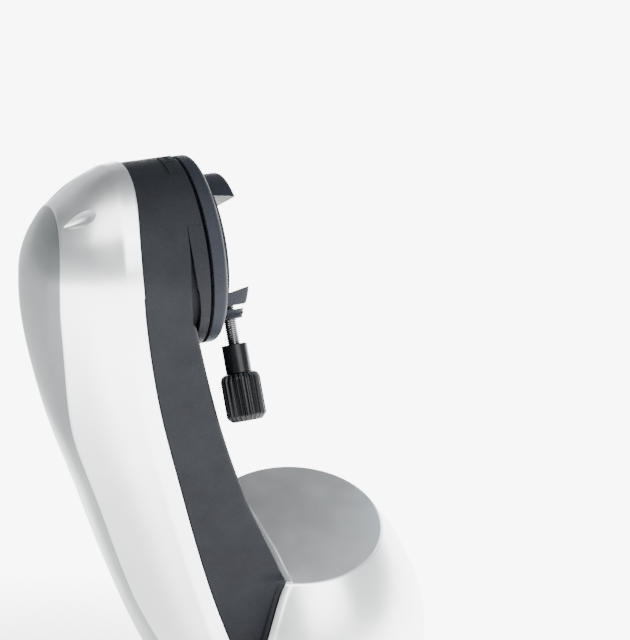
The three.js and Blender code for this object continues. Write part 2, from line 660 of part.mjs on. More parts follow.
function saddleBody() {
  const puck = solid(turnedAlongX([[0, PUCK_X], [PUCK_RADIUS, PUCK_X], [PUCK_RADIUS, FACE_X - 3],
    [PUCK_RADIUS - 0.9, FACE_X - 0.9], [PUCK_RADIUS - 3, FACE_X], [0, FACE_X]], LARGE_ROUND));
  const boss = solid(turned([[0, -BOSS_END], [7.4, -BOSS_END], [8, -BOSS_END + 0.6],
    [8, -POCKET_END + 2], [0, -POCKET_END + 2]], 28).translate(CLAMP_X, 0, 0));
  const rise = solid(box([PUCK_X + 2, CLAMP_X + 7], [-8, 8], [-BOSS_END + 2, -POCKET_END + 1]));
  let body = cut(
    join(puck, boss, rise),
    grooveTool(),
    solid(rodAlongZ(SCREW_RADIUS + GAP, -80, -20, CLAMP_X, 0, 20)),
  );
  for (const [y, z] of SADDLE_SCREWS) {
    body = cut(
      body,
      solid(rodAlongX(SHANK_RADIUS + GAP, PUCK_X - 1, FACE_X, y, z, 12)),
      solid(rodAlongX(SCREW_HEAD_RADIUS + GAP, FLOOR_X - SCREW_HEAD_DEPTH - 2 * GAP, FACE_X, y, z)),
    );
  }
  return body;
}

// The jaw repeats the groove's slanted wall and carries the tip of the clamp screw.
function clampJaw() {
  const outline = [[FLOOR_X + GAP, -GROOVE_BOTTOM.floor], [FACE_X - 0.6, -GROOVE_BOTTOM.mouth],
    [FACE_X, -GROOVE_BOTTOM.mouth - 0.6], [FACE_X, -JAW_BACK + 0.6], [FACE_X - 0.6, -JAW_BACK],
    [FLOOR_X + GAP, -JAW_BACK]];
  const jaw = solid(slab(outline, -JAW_HALF_LENGTH, JAW_HALF_LENGTH));
  return jaw.subtract(solid(rodAlongZ(SCREW_RADIUS - 1 + GAP, -JAW_BACK - 1, -JAW_BACK + 3.3,
    CLAMP_X, 0, 20)));
}

function clampScrew() {
  const tip = -JAW_BACK + 3;
  return turned([[0, -NECK_START - 12], [SCREW_RADIUS, -NECK_START - 12],
    [SCREW_RADIUS, tip - 3.6], [SCREW_RADIUS - 1, tip - 3.6], [SCREW_RADIUS - 1, tip], [0, tip]],
  20).translate(CLAMP_X, 0, 0);
}

function clampKnob() {
  const ribs = [];
  for (let rib = 0; rib < BARREL_RIBS; rib += 1) {
    for (const [share, drop] of [[-0.17, 0], [0.17, 0], [0.5, 1.1]]) {
      const angle = (360 / BARREL_RIBS) * (rib + share);
      ribs.push(around(angle, BARREL_RADIUS - drop));
    }
  }
  const ribbed = new THREE.ExtrudeGeometry(polygon(ribs),
    { depth: BARREL_END - BARREL_START + 2, bevelEnabled: false });
  ribbed.translate(0, 0, -BARREL_END - 1);
  const rounded = turned([[0, -BARREL_END], [8.4, -BARREL_END], [10.6, -BARREL_END + 1.3],
    [BARREL_RADIUS + 0.2, -BARREL_END + 3.6], [BARREL_RADIUS + 0.2, -BARREL_START - 4.4],
    [11.2, -BARREL_START - 2], [9.6, -BARREL_START - 0.5], [NECK_RADIUS, -BARREL_START],
    [0, -BARREL_START]], ROUND);
  const neck = solid(turned(rod(NECK_RADIUS, -BARREL_START - 6, -NECK_START), ROUND));
  const bore = solid(rodAlongZ(SCREW_RADIUS + GAP, -NECK_START - 12.3, -NECK_START + 1, 0, 0, 20));
  const knob = solid(ribbed).intersect(solid(rounded)).add(neck).subtract(bore);
  return surface(knob).translate(CLAMP_X, 0, 0);
}

// ---- control panel ----------------------------------------------------------------------------------
// Local frame: +X points out of the dome, the face lies at x = 0 and y runs along the panel.

const JACK_Y = -20;
const SOCKET_Y = -2.5;
const SWITCH_Y = 17;
const LAMP_Y = -12.4;
const ROCKER_PIVOT_X = -3.4;
const ROCKER_TILT = 10; // degrees either way from level

function controlPanel() {
  return cut(
    solid(box([-3, 0], [-PANEL_WIDTH / 2 + GAP, PANEL_WIDTH / 2 - GAP],
      [-PANEL_HEIGHT / 2 + GAP, PANEL_HEIGHT / 2 - GAP])),
    solid(rodAlongX(5.8, -9, 9, JACK_Y, 0, 24)),
    solid(box([-9, 9], [SOCKET_Y - 6.9, SOCKET_Y + 6.9], [-6.4, 6.4])),
    solid(box([-9, 9], [SWITCH_Y - 9.3, SWITCH_Y + 9.3], [-6.3, 6.3])),
    solid(rodAlongX(1.8, -9, 9, LAMP_Y, 8, 12)),
  );
}

function powerJack() {
  return turnedAlongX([[0, -14], [5.5, -14], [5.5, GAP], [7, GAP], [7, 1.4], [6.4, 2], [3.3, 2],
    [3.3, -9], [1.1, -9], [1.1, -5.5], [0.7, -5], [0, -5]], 24).translate(0, JACK_Y, 0);
}

function handsetSocket() {
  return cut(
    join(
      solid(box([-15, 0], [SOCKET_Y - 6.6, SOCKET_Y + 6.6], [-6.1, 6.1])),
      solid(box([GAP, 1.2], [SOCKET_Y - 7.6, SOCKET_Y + 7.6], [-7.1, 7.1])),
      solid(box([-1, 1], [SOCKET_Y - 6.6, SOCKET_Y + 6.6], [-6.1, 6.1])),
    ),
    solid(box([-12, 5], [SOCKET_Y - 4.9, SOCKET_Y + 4.9], [-4.4, 2.6])),
    solid(box([-12, 5], [SOCKET_Y - 2.2, SOCKET_Y + 2.2], [2, 4.6])),
  );
}

function switchHousing() {
  return cut(
    join(
      solid(box([-12, 0.5], [SWITCH_Y - 9, SWITCH_Y + 9], [-6, 6])),
      solid(box([GAP, 1.5], [SWITCH_Y - 10.5, SWITCH_Y + 10.5], [-7.5, 7.5])),
    ),
    solid(box([-9.5, 5], [SWITCH_Y - 8, SWITCH_Y + 8], [-4.8, 4.8])),
  );
}

// Rocker about its pivot at the local origin, its faces meeting in a shallow valley.
function switchRocker() {
  const outline = [[-6.6, -4.4], [0, -2.2], [6.6, -4.4], [6.6, 4.6], [0, 3.3], [-6.6, 4.6]];
  const settings = { depth: 8.8, bevelEnabled: false };
  const shape = new THREE.ExtrudeGeometry(polygon(outline), settings).translate(0, 0, -4.4);
  return shape.rotateZ(-Math.PI / 2);
}

// ---- assembly ------------------------------------------------------------------------------------------

const model = new THREE.Group();
const altitude = new THREE.Group();
altitude.position.z = ALTITUDE_Z;
altitude.rotation.x = THREE.MathUtils.degToRad(-REST_ALTITUDE);
const panel = new THREE.Group();
panel.rotation.z = THREE.MathUtils.degToRad(PANEL_ANGLE);
panel.position.set(...around(PANEL_ANGLE, PANEL_RADIAL), PANEL_Z);
model.add(altitude, panel);

function place(parent, name, shape, finish) {
  const geometry = shape.isBufferGeometry ? weld(shape) : surface(shape);
  const mesh = new THREE.Mesh(geometry, new THREE.MeshStandardMaterial(FINISHES[finish]));
  mesh.name = name;
  parent.add(mesh);
  return mesh;
}

place(model, 'base_plate', basePlate(), 'casting');
place(model, 'tripod_insert', turned(ring(4.8, INSERT_RADIUS, 0, BASE_THICKNESS - GAP), 24), 'brass');
place(model, 'azimuth_spindle', spindle(), 'steel');
place(model, 'azimuth_ring_gear',
  gear(GEAR_TEETH, RING_GEAR_BORE, BASE_THICKNESS + GAP, BASE_THICKNESS + GAP + GEAR_WIDTH, 0), 'brass');
place(model, 'spindle_nut', hexNut(30, SHAFT_RADIUS + GAP, HUB_TOP_Z + 1, HUB_TOP_Z + 8), 'steel');
[90, 210, 330].forEach((angle, i) => {
  const [padX, padY] = around(angle, PAD_CIRCLE);
  const [x, y] = around(angle, SPINDLE_SCREW_CIRCLE);
  const screw = screwAlongX(SCREW_HEAD_DEPTH + 9).rotateY(-Math.PI / 2);
  place(model, `base_pad_${i + 1}`, rodAlongZ(PAD_RADIUS, 0, PAD_DEPTH, padX, padY, 24), 'rubber');
  place(model, `spindle_screw_${i + 1}`, screw, 'steel')
    .position.set(x, y, FLANGE_TOP_Z + GAP + SCREW_HEAD_DEPTH);
});

place(model, 'turntable', turntable(), 'casting');
place(model, 'azimuth_lower_bearing', turned(ring(SHAFT_RADIUS + GAP, BEARING_RADIUS,
  TURNTABLE_BOTTOM_Z + 0.6, TURNTABLE_BOTTOM_Z + 0.6 + BEARING_WIDTH)), 'steel');
place(model, 'azimuth_upper_bearing', turned(ring(SHAFT_RADIUS + GAP, BEARING_RADIUS,
  HUB_TOP_Z - GAP - BEARING_WIDTH, HUB_TOP_Z - GAP)), 'steel');
place(model, 'arm_casting', armCasting(), 'casting');
place(model, 'arm_outer_shell', outerShell(), 'silver');
place(model, 'dome_shell', domeShell(), 'silver');
place(model, 'index_plate', indexPlate(), 'disc');
place(model, 'altitude_front_bearing', turnedAlongX(ring(SHAFT_RADIUS + GAP, BEARING_RADIUS,
  FRONT_BEARING_X + GAP, FRONT_BEARING_X + GAP + BEARING_WIDTH)), 'steel').position.z = ALTITUDE_Z;
place(model, 'altitude_rear_bearing', turnedAlongX(ring(SHAFT_RADIUS + GAP, BEARING_RADIUS,
  REAR_BEARING_X, REAR_BEARING_X + BEARING_WIDTH - GAP)), 'steel').position.z = ALTITUDE_Z;
SHELL_SCREWS.forEach(([z, y], i) => {
  place(model, `shell_screw_${i + 1}`, screwAlongX(16), 'steel')
    .position.set(innerFace(z) - 1.7, y, z);
});
DOME_SCREW_ANGLES.forEach((angle, i) => {
  const [x, y] = around(angle, DOME_SCREW_RADIUS);
  place(model, `dome_screw_${i + 1}`, screwAlongX(18).rotateY(Math.PI / 2), 'steel')
    .position.set(x, y, TURNTABLE_BOTTOM_Z);
});
place(model, 'azimuth_gearbox', gearbox(), 'steel').position.set(GEAR_CENTRES, 0, TURNTABLE_TOP_Z + GAP);
place(model, 'azimuth_motor', motorCan(), 'steel').position.set(GEAR_CENTRES, 0, TURNTABLE_TOP_Z + 17.6);
const azimuthPinion = place(model, 'azimuth_pinion', pinion(19), 'brass');
azimuthPinion.position.set(GEAR_CENTRES, 0, BASE_THICKNESS + GAP);
place(model, 'altitude_motor_bracket', motorBracket(), 'steel');
const altitudeGearbox = place(model, 'altitude_gearbox', gearbox(), 'steel');
altitudeGearbox.rotation.y = Math.PI / 2;
altitudeGearbox.position.set(GEARBOX_X, 0, ALT_PINION_Z);
const altitudeMotor = place(model, 'altitude_motor', motorCan(), 'steel');
altitudeMotor.rotation.y = -Math.PI / 2;
altitudeMotor.position.set(GEARBOX_X - GAP, 0, ALT_PINION_Z);
const altitudePinion = place(model, 'altitude_pinion', pinion(10), 'brass');
altitudePinion.rotation.y = -Math.PI / 2;
altitudePinion.position.set(GEAR_X + GEAR_WIDTH + 0.5, 0, ALT_PINION_Z);
place(model, 'control_board', controlBoard(), 'board');

place(panel, 'control_panel', controlPanel(), 'plastic');
place(panel, 'power_jack', powerJack(), 'plastic');
place(panel, 'handset_socket', handsetSocket(), 'plastic');
place(panel, 'switch_housing', switchHousing(), 'plastic');
const rocker = place(panel, 'power_switch', switchRocker(), 'plastic');
rocker.position.set(ROCKER_PIVOT_X, SWITCH_Y, 0);
rocker.rotation.z = THREE.MathUtils.degToRad(-ROCKER_TILT);
place(panel, 'power_lamp', rodAlongX(1.5, -6, 0.8, LAMP_Y, 8, 12), 'lamp');

place(altitude, 'altitude_disc', altitudeDisc(), 'disc');
place(altitude, 'altitude_shaft', altitudeShaft(), 'steel');
const altitudeGear = place(altitude, 'altitude_gear',
  gear(GEAR_TEETH, SHAFT_RADIUS + GAP, 0, GEAR_WIDTH, 0), 'brass');
altitudeGear.rotation.y = Math.PI / 2;
altitudeGear.position.x = GEAR_X;
const shaftNut = place(altitude, 'altitude_shaft_nut', hexNut(26, SHAFT_RADIUS + GAP, 0, 6), 'steel');
shaftNut.rotation.y = Math.PI / 2;
shaftNut.position.x = GEAR_X - GAP - 6;
place(altitude, 'saddle_body', saddleBody(), 'disc');
SADDLE_SCREWS.forEach(([y, z], i) => {
  place(altitude, `saddle_screw_${i + 1}`, screwAlongX(9), 'steel').position.set(FLOOR_X - GAP, y, z);
});
place(altitude, 'clamp_jaw', clampJaw(), 'disc');
place(altitude, 'clamp_screw', clampScrew(), 'steel');
place(altitude, 'clamp_knob', clampKnob(), 'plastic');

export default model;
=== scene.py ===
from bisect import bisect_left
from math import copysign, cos, hypot, pi, radians, sin, sqrt, tan, tau

import bmesh
import bpy
from mathutils import Matrix, Vector


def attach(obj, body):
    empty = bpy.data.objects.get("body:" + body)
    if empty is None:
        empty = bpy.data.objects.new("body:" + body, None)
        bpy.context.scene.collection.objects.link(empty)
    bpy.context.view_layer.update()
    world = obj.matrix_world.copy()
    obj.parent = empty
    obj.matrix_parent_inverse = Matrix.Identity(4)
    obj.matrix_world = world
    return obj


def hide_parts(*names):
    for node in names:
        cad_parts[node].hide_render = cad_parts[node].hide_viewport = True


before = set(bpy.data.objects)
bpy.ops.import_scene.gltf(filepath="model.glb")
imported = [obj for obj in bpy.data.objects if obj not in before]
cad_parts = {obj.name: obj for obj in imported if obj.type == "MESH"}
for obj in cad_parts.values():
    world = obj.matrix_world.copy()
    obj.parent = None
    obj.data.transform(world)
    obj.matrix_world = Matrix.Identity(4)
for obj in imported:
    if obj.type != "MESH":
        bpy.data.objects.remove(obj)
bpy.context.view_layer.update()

MM = 0.001
GAP = 0.3  # clearance between pieces

# ---- dimensions, in millimetres ----

ALTITUDE_Z = 320
REST_ALTITUDE = radians(30)
HEAD_RADIUS = 56.5
GAP_PLANE_X = -68.7
DISC_RADIUS = 56
BOSS_RADIUS = 56.3
DISC_X = GAP_PLANE_X + 1
DISC_THICKNESS = 9

BASE_RADIUS = 87
BASE_THICKNESS = 10
BODY_BOTTOM_Z = 12

CAP_RADIUS = 59
CAP_Z = 110.7
CAP_SLOPE = tan(radians(7.4))
CAP_CROWN = 3.5
SKIRT_RADIUS = 89
SKIRT_HEIGHT = 80
SKIRT_POWER = 1.9

PUCK_RADIUS = 43
PUCK_X = DISC_X + DISC_THICKNESS + GAP
FACE_X = PUCK_X + 16.5
FLOOR_X = PUCK_X + 4
GROOVE_TOP = (26, 23.5)  # floor and mouth, from the altitude axis
GROOVE_BOTTOM = (31, 28.5)
JAW_HALF_LENGTH = 20
JAW_BACK = 36
POCKET_END = 40
CLAMP_X = GAP_PLANE_X + 20.4
SADDLE_SCREWS = ((-14, 12), (14, 12), (0, -17))
BOSS_END = 45
NECK_START = 60
BARREL_START = 77
BARREL_END = 106
NECK_RADIUS = 7.7
BARREL_RADIUS = 12
BARREL_RIBS = 22
GROOVE_DEPTH = 1.1  # between the knob's ribs
SCREW_RADIUS = 4  # M8
THREAD_PITCH = 1.25

PANEL_FACE_Y = 80.5
PANEL_Z = 45
PANEL_WIDTH = 58
PANEL_HEIGHT = 22
JACK_Y = -20
SOCKET_Y = -2.5
SWITCH_Y = 17
LAMP_Y = -12.4
ROCKER_PIVOT_X = -3.4
ROCKER_TILT = radians(10)

SHELL_SCREWS = ((136, -20), (190, 18), (236, -18))
BASE_ANGLES = tuple(map(radians, (90, 210, 330)))
PAD_DISTANCE = 66
INSERT_RADIUS = 12
SHANK_BORE = 1.9  # radius of a screw's clearance hole
SHAFT_BORE = 19.3

# Outlines as (z, x) or, for the half depth, (z, y).
SEAM_LEFT = ((380, -100.5), (350, -107.4), (315, -108.4), (255, -103), (194, -91.8),
             (114, -74.9), (52, -58.5))
INNER_FACE = ((380, -76), (345, -79.2), (318, -80.6), (289, -76.9), (229, -65),
              (173, -49.4), (101, -23.6))
SEAM_RIGHT_LOW = ((104.5, -24.9), (98, -29.6), (86, -36), (70, -43.6), (52, -53.5))
CROWN_LINE = ((380, -151), (345, -162.4), (321, -167), (290, -167.6), (230, -158.6),
              (173, -143.8), (121, -130.6), (58, -111.5), (12, -93))
HALF_DEPTH = ((320, 56.5), (265, 55), (209, 52.5), (125, 51), (92, 53), (52, 63.5),
              (30, 68.5), (10, 70))
SEAM_LOW_X = -57
CORNER_Z = 104.5
SPLIT_Z = 52
SEAM_GAP = GAP / 2  # from the middle of a joint line
CAP_GAP = 1.6  # shadow gap between the facet and the arm
SHELL_THICKNESS = 2.7

# Cross sections of the silver shell: (share of its depth, share of the half depth).
HEAD_SECTION = ((0, 1.02), (0.18, 1.005), (0.46, 0.885), (0.745, 0.672), (0.86, 0.5),
                (0.93, 0.34), (0.975, 0.18), (1, 0))
ARM_SECTION = ((0, 1), (0.18, 0.985), (0.5, 0.865), (0.86, 0.6), (0.935, 0.43),
               (0.975, 0.27), (0.993, 0.13), (1, 0))
FOOT_SECTION = ((0, 1), (0.25, 0.88), (0.5, 0.71), (0.7, 0.53), (0.82, 0.38),
                (0.91, 0.25), (0.97, 0.13), (1, 0))
FOOT_TO_ARM = (12, 110)  # heights between which one section turns into the next
ARM_TO_HEAD = (215, 300)
CROWN_KNOT = 3  # the point of a section where the crown begins

# ---- small maths ----


def lerp(a, b, t):
    return a + (b - a) * t


def clamp(value, low=0.0, high=1.0):
    return max(low, min(high, value))


def smoothstep(value, low, high):
    t = clamp((value - low) / (high - low))
    return t * t * (3 - 2 * t)


def about(centre, half):
    return (centre - half, centre + half)


def steps(low, high, count):
    return [lerp(low, high, i / count) for i in range(count + 1)]


def bend(a, b, c, shares):
    """Points on the curve that leaves a towards b and arrives at c."""
    return [a * (1 - t) ** 2 + b * 2 * t * (1 - t) + c * t**2 for t in shares]


def catmull(points, per_span):
    """Points along a centripetal Catmull-Rom curve; the first and last points only steer it."""
    found = []
    for a, b, c, d in zip(points, points[1:], points[2:], points[3:]):
        before, span, after = [max(v.length, 1e-6) ** 0.5 for v in (b - a, c - b, d - c)]
        leave = ((b - a) / before - (c - a) / (before + span) + (c - b) / span) * span
        arrive = ((c - b) / span - (d - b) / (span + after) + (d - c) / after) * span
        for i in range(per_span):
            t = i / per_span
            found.append(b * (2 * t**3 - 3 * t**2 + 1) + leave * (t**3 - 2 * t**2 + t)
                         + c * (3 * t**2 - 2 * t**3) + arrive * (t**3 - t**2))
    return found + [points[-2]]


def steered(points):
    """The points and one more beyond each end, to steer a curve."""
    return [2 * points[0] - points[1]] + points + [2 * points[-1] - points[-2]]


def smooth(points):
    """Position along X as a smooth function of height, through (z, x) points."""
    line = steered([Vector((z, x)) for z, x in points])
    samples = sorted(catmull(line, 30), key=lambda sample: sample.x)
    heights = [sample.x for sample in samples]

    def at(z):
        if z <= heights[0]:
            return samples[0].y
        if z >= heights[-1]:
            return samples[-1].y
        i = bisect_left(heights, z)
        a, b = samples[i - 1], samples[i]
        return lerp(a.y, b.y, (z - a.x) / (b.x - a.x))

    return at


seam_left = smooth(SEAM_LEFT)
inner_face = smooth(INNER_FACE)
seam_right_low = smooth(SEAM_RIGHT_LOW)
crown_line = smooth(CROWN_LINE)
half_depth = smooth(HALF_DEPTH)


def rounded(points, radii, count=4, closed=False):
    """A polyline with rounded corners; a radius of 0 keeps a corner."""
    line = [Vector(p) for p in points]
    found = []
    for i, corner in enumerate(line):
        if radii[i] == 0 or (not closed and i in (0, len(line) - 1)):
            found.append(corner)
            continue
        before, after = line[i - 1], line[(i + 1) % len(line)]
        to_before, to_after = (before - corner), (after - corner)
        half = to_before.angle(to_after) / 2
        reach = min(radii[i] / tan(half), 0.49 * to_before.length, 0.49 * to_after.length)
        a = corner + to_before.normalized() * reach
        b = corner + to_after.normalized() * reach
        found += bend(a, corner, b, steps(0, 1, count))
    return found


# ---- shapes: (points, faces) in millimetres ----


def grid(rows, close_rows=False, close_columns=False):
    height, width = len(rows), len(rows[0])
    faces = []
    for j in range(height if close_rows else height - 1):
        for i in range(width if close_columns else width - 1):
            here, up = j * width, (j + 1) % height * width
            right = (i + 1) % width
            faces.append((here + i, here + right, up + right, up + i))
    return [Vector(p) for row in rows for p in row], faces


def with_ends(rows):
    """A closed shape from closed rows, the first and last of which are flat ends."""
    verts, faces = grid(rows, close_columns=True)
    first, last = range(len(rows[0])), range(len(verts) - len(rows[0]), len(verts))
    return verts, faces + [tuple(first), tuple(reversed(last))]


def turned(profile, segments=64):
    """A closed (radius, height) profile turned about Z; ends on the axis close by themselves."""
    points = [Vector(p) for p in profile]
    on_axis = points[0].x < 1e-6 and points[-1].x < 1e-6
    rows = [[(p.x * cos(a), p.x * sin(a), p.y) for p in points]
            for a in (tau * i / segments for i in range(segments))]
    return grid(rows, close_rows=True, close_columns=not on_axis)


def round_row(radii, z):
    """A closed row of points about Z, with a radius for each."""
    angles = [tau * i / len(radii) for i in range(len(radii))]
    return [(r * cos(a), r * sin(a), z) for r, a in zip(radii, angles)]


def sector(profile, first, last, segments):
    """Part of a ring about X from a closed (radius, x) profile; angles in degrees from +Y."""
    points = [Vector(p) for p in profile]
    rows = [[(p.y, p.x * cos(a), p.x * sin(a)) for p in points]
            for a in map(radians, steps(first, last, segments))]
    return with_ends(rows)


def prism(outline, low, high):
    """A closed (x, y) outline raised along Z."""
    count = len(outline)
    verts, faces = grid([[(p[0], p[1], z) for p in outline] for z in (low, high)],
                        close_columns=True)
    return verts, faces + [tuple(reversed(range(count))), tuple(range(count, 2 * count))]


def block(xs, ys, zs, radius=0.0):
    """A box whose vertical edges are rounded."""
    corners = [(xs[0], ys[0]), (xs[1], ys[0]), (xs[1], ys[1]), (xs[0], ys[1])]
    return prism(rounded(corners, [radius] * 4, closed=True), *zs)


def moved(shape, matrix):
    return [matrix @ v for v in shape[0]], shape[1]


def shift(x, y, z):
    return Matrix.Translation((x, y, z))


def along_x(shape):
    return moved(shape, Matrix(((0, 0, 1), (0, 1, 0), (-1, 0, 0))).to_4x4())


def rod(radius, low, high, edge=0.0):
    """The profile of a rod about Z."""
    return rounded([(0, low), (radius, low), (radius, high), (0, high)], [0, edge, edge, 0])


def merged(*shapes):
    verts, faces = [], []
    for shape in shapes:
        start = len(verts)
        verts += shape[0]
        faces += [tuple(start + i for i in face) for face in shape[1]]
    return verts, faces


# ---- objects ----


def make_object(name, shape, closed=True):
    mesh = bpy.data.meshes.new(name)
    mesh.from_pydata([v * MM for v in shape[0]], [], shape[1])
    work = bmesh.new()
    work.from_mesh(mesh)
    bmesh.ops.remove_doubles(work, verts=work.verts, dist=1e-7)
    bmesh.ops.dissolve_degenerate(work, edges=work.edges, dist=1e-7)
    if closed:
        bmesh.ops.recalc_face_normals(work, faces=work.faces)
    work.to_mesh(mesh)
    work.free()
    obj = bpy.data.objects.new(name, mesh)
    bpy.context.scene.collection.objects.link(obj)
    return obj


def bake(obj):
    """Applies the modifiers."""
    graph = bpy.context.evaluated_depsgraph_get()
    mesh = bpy.data.meshes.new_from_object(obj.evaluated_get(graph))
    obj.modifiers.clear()
    obj.data = mesh


def combine(obj, shape, operation):
    tool = make_object("tool", shape)
    modifier = obj.modifiers.new("combine", "BOOLEAN")
    modifier.operation = operation
    modifier.solver = "EXACT"
    modifier.object = tool
    bake(obj)
    bpy.data.objects.remove(tool)


def cut(obj, *shapes):
    for shape in shapes:
        combine(obj, shape, "DIFFERENCE")


def join(obj, *shapes):
    for shape in shapes:
        combine(obj, shape, "UNION")


def thicken(obj, thickness):
    modifier = obj.modifiers.new("wall", "SOLIDIFY")
    modifier.thickness = thickness * MM
    modifier.offset = -1
    modifier.use_even_offset = False
    bake(obj)


def soften(obj, width, angle=40, segments=2):
    """Small rounded edges, with flat faces left flat."""
    bevel = obj.modifiers.new("edges", "BEVEL")
    bevel.width = width * MM
    bevel.segments = segments
    bevel.limit_method = "ANGLE"
    bevel.angle_limit = radians(angle)
    bevel.use_clamp_overlap = True
    bake(obj)
    obj.data.shade_smooth()
    obj.data.set_sharp_from_angle(angle=radians(50))
    weighted = obj.modifiers.new("shading", "WEIGHTED_NORMAL")
    weighted.keep_sharp = True


def put(obj, matrix):
    """Moves the mesh itself by a matrix in millimetres."""
    obj.data.transform(Matrix.Scale(MM, 4) @ matrix @ Matrix.Scale(1 / MM, 4))


def shade(obj, angle=32):
    obj.data.shade_smooth()
    obj.data.set_sharp_from_angle(angle=radians(angle))


def paint_all(obj, material):
    obj.data.materials.clear()
    obj.data.materials.append(material)


def finish(obj, body, material, replaces=()):
    """Sets the body a piece rides on, the CAD nodes it replaces and its material."""
    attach(obj, body)
    if replaces:
        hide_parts(*replaces)
    paint_all(obj, material)


# ---- materials ----


def map_range(tree, source, start, end, low, high, kind="LINEAR"):
    made = tree.nodes.new("ShaderNodeMapRange")
    made.interpolation_type = kind
    for i, value in enumerate((start, end, low, high), 1):
        made.inputs[i].default_value = value
    tree.links.new(source, made.inputs[0])
    return made.outputs[0]


def maths(tree, operation, first, second):
    made = tree.nodes.new("ShaderNodeMath")
    made.operation = operation
    tree.links.new(first, made.inputs[0])
    tree.links.new(second, made.inputs[1])
    return made.outputs[0]


class Finish:
    """A Principled material; its colour, roughness and bump come from noise in object space."""

    def __init__(self, name, roughness, metallic):
        self.material = bpy.data.materials.new(name)
        self.material.use_nodes = True
        self.tree = self.material.node_tree
        self.shader = self.tree.nodes["Principled BSDF"]
        self.shader.inputs["Metallic"].default_value = metallic
        self.shader.inputs["Roughness"].default_value = roughness
        self.place = self.tree.nodes.new("ShaderNodeTexCoord").outputs["Object"]
        self.normal = None

    def node(self, kind, **sockets):
        made = self.tree.nodes.new(kind)
        for key, value in sockets.items():
            made.inputs[key.replace("_", " ")].default_value = value
        return made

    def link(self, source, target):
        self.tree.links.new(source, target)

    def stretched(self, scale):
        mapping = self.node("ShaderNodeMapping", Scale=scale)
        self.link(self.place, mapping.inputs["Vector"])
        return mapping.outputs["Vector"]

    def noise(self, scale, detail=3.0, place=None):
        made = self.node("ShaderNodeTexNoise", Scale=scale, Detail=detail)
        self.link(place or self.place, made.inputs["Vector"])
        return made.outputs["Fac"]

    def cells(self, scale):
        made = self.node("ShaderNodeTexVoronoi", Scale=scale)
        self.link(self.place, made.inputs["Vector"])
        split = self.node("ShaderNodeSeparateColor")
        self.link(made.outputs["Color"], split.inputs["Color"])
        return split.outputs["Red"]

    def spread(self, source, low, high, start=0.3, end=0.7):
        return map_range(self.tree, source, start, end, low, high)

    def colour(self, first, second, factor):
        made = self.tree.nodes.new("ShaderNodeMix")
        made.data_type = "RGBA"
        made.inputs[6].default_value = (*first, 1)
        made.inputs[7].default_value = (*second, 1)
        self.link(factor, made.inputs[0])
        self.link(made.outputs[2], self.shader.inputs["Base Color"])

    def rough(self, factor, low, high):
        self.link(self.spread(factor, low, high), self.shader.inputs["Roughness"])

    def maths(self, operation, first, second):
        return maths(self.tree, operation, first, second)

    def from_place(self, operation, other):
        """A distance or dot product of the place with a constant vector."""
        made = self.tree.nodes.new("ShaderNodeVectorMath")
        made.operation = operation
        made.inputs[1].default_value = other
        self.link(self.place, made.inputs[0])
        return made.outputs["Value"]

    def bump(self, height, depth, strength=1.0):
        made = self.node("ShaderNodeBump", Strength=strength, Distance=depth * MM)
        self.link(height, made.inputs["Height"])
        if self.normal:
            self.link(self.normal, made.inputs["Normal"])
        self.normal = made.outputs["Normal"]
        self.link(self.normal, self.shader.inputs["Normal"])


PAINT_GRAIN = 1500  # grains per metre of the textured paint


def silver_paint(name, dark, light):
    paint = Finish(name, 0.31, 0.9)
    flakes = paint.spread(paint.cells(2600), 0.0, 0.5, 0.0, 1.0)
    cloud = paint.spread(paint.noise(22), 0.0, 0.5)
    paint.colour(dark, light, paint.maths("ADD", flakes, cloud))
    paint.rough(paint.noise(60), 0.28, 0.34)
    paint.bump(paint.noise(1500, 2.0), 0.006)
    return paint.material


def textured_paint(name, dark, light, gloss):
    paint = Finish(name, 0.55, 0.0)
    paint.shader.inputs["Specular IOR Level"].default_value = gloss
    cloud = paint.spread(paint.noise(35), 0.0, 0.5)
    specks = paint.spread(paint.cells(PAINT_GRAIN), 0.0, 0.5, 0.0, 1.0)
    paint.colour(dark, light, paint.maths("ADD", cloud, specks))
    paint.rough(paint.noise(80), 0.46, 0.6)
    paint.bump(paint.noise(PAINT_GRAIN * 0.6), 0.07)
    return paint.material


def moulded_plastic(name, dark, light, low, high):
    plastic = Finish(name, 0.5, 0.0)
    plastic.shader.inputs["Specular IOR Level"].default_value = 0.2
    plastic.colour(dark, light, plastic.spread(plastic.noise(50), 0.0, 1.0))
    plastic.rough(plastic.noise(120), low, high)
    plastic.bump(plastic.noise(1300, 2.0), 0.025)
    return plastic.material


def metal(name, dark, light, low, high, along):
    made = Finish(name, 0.3, 1.0)
    lines = made.noise(1.0, 4.0, made.stretched(along))
    made.colour(dark, light, made.spread(lines, 0.0, 1.0))
    made.rough(made.noise(150), low, high)
    made.bump(lines, 0.01)
    return made.material


def circuit_board():
    board = Finish("circuit_board", 0.4, 0.0)
    tracks = board.spread(board.cells(320), 0.0, 1.0, 0.45, 0.55)
    board.colour((0.012, 0.09, 0.03), (0.03, 0.2, 0.07), tracks)
    board.bump(tracks, 0.05)
    return board.material


def lamp_lens():
    lens = Finish("red_lens", 0.15, 0.0)
    lens.colour((0.25, 0.006, 0.006), (0.42, 0.012, 0.01), lens.spread(lens.noise(400), 0.0, 1.0))
    lens.shader.inputs["Transmission Weight"].default_value = 0.3
    return lens.material


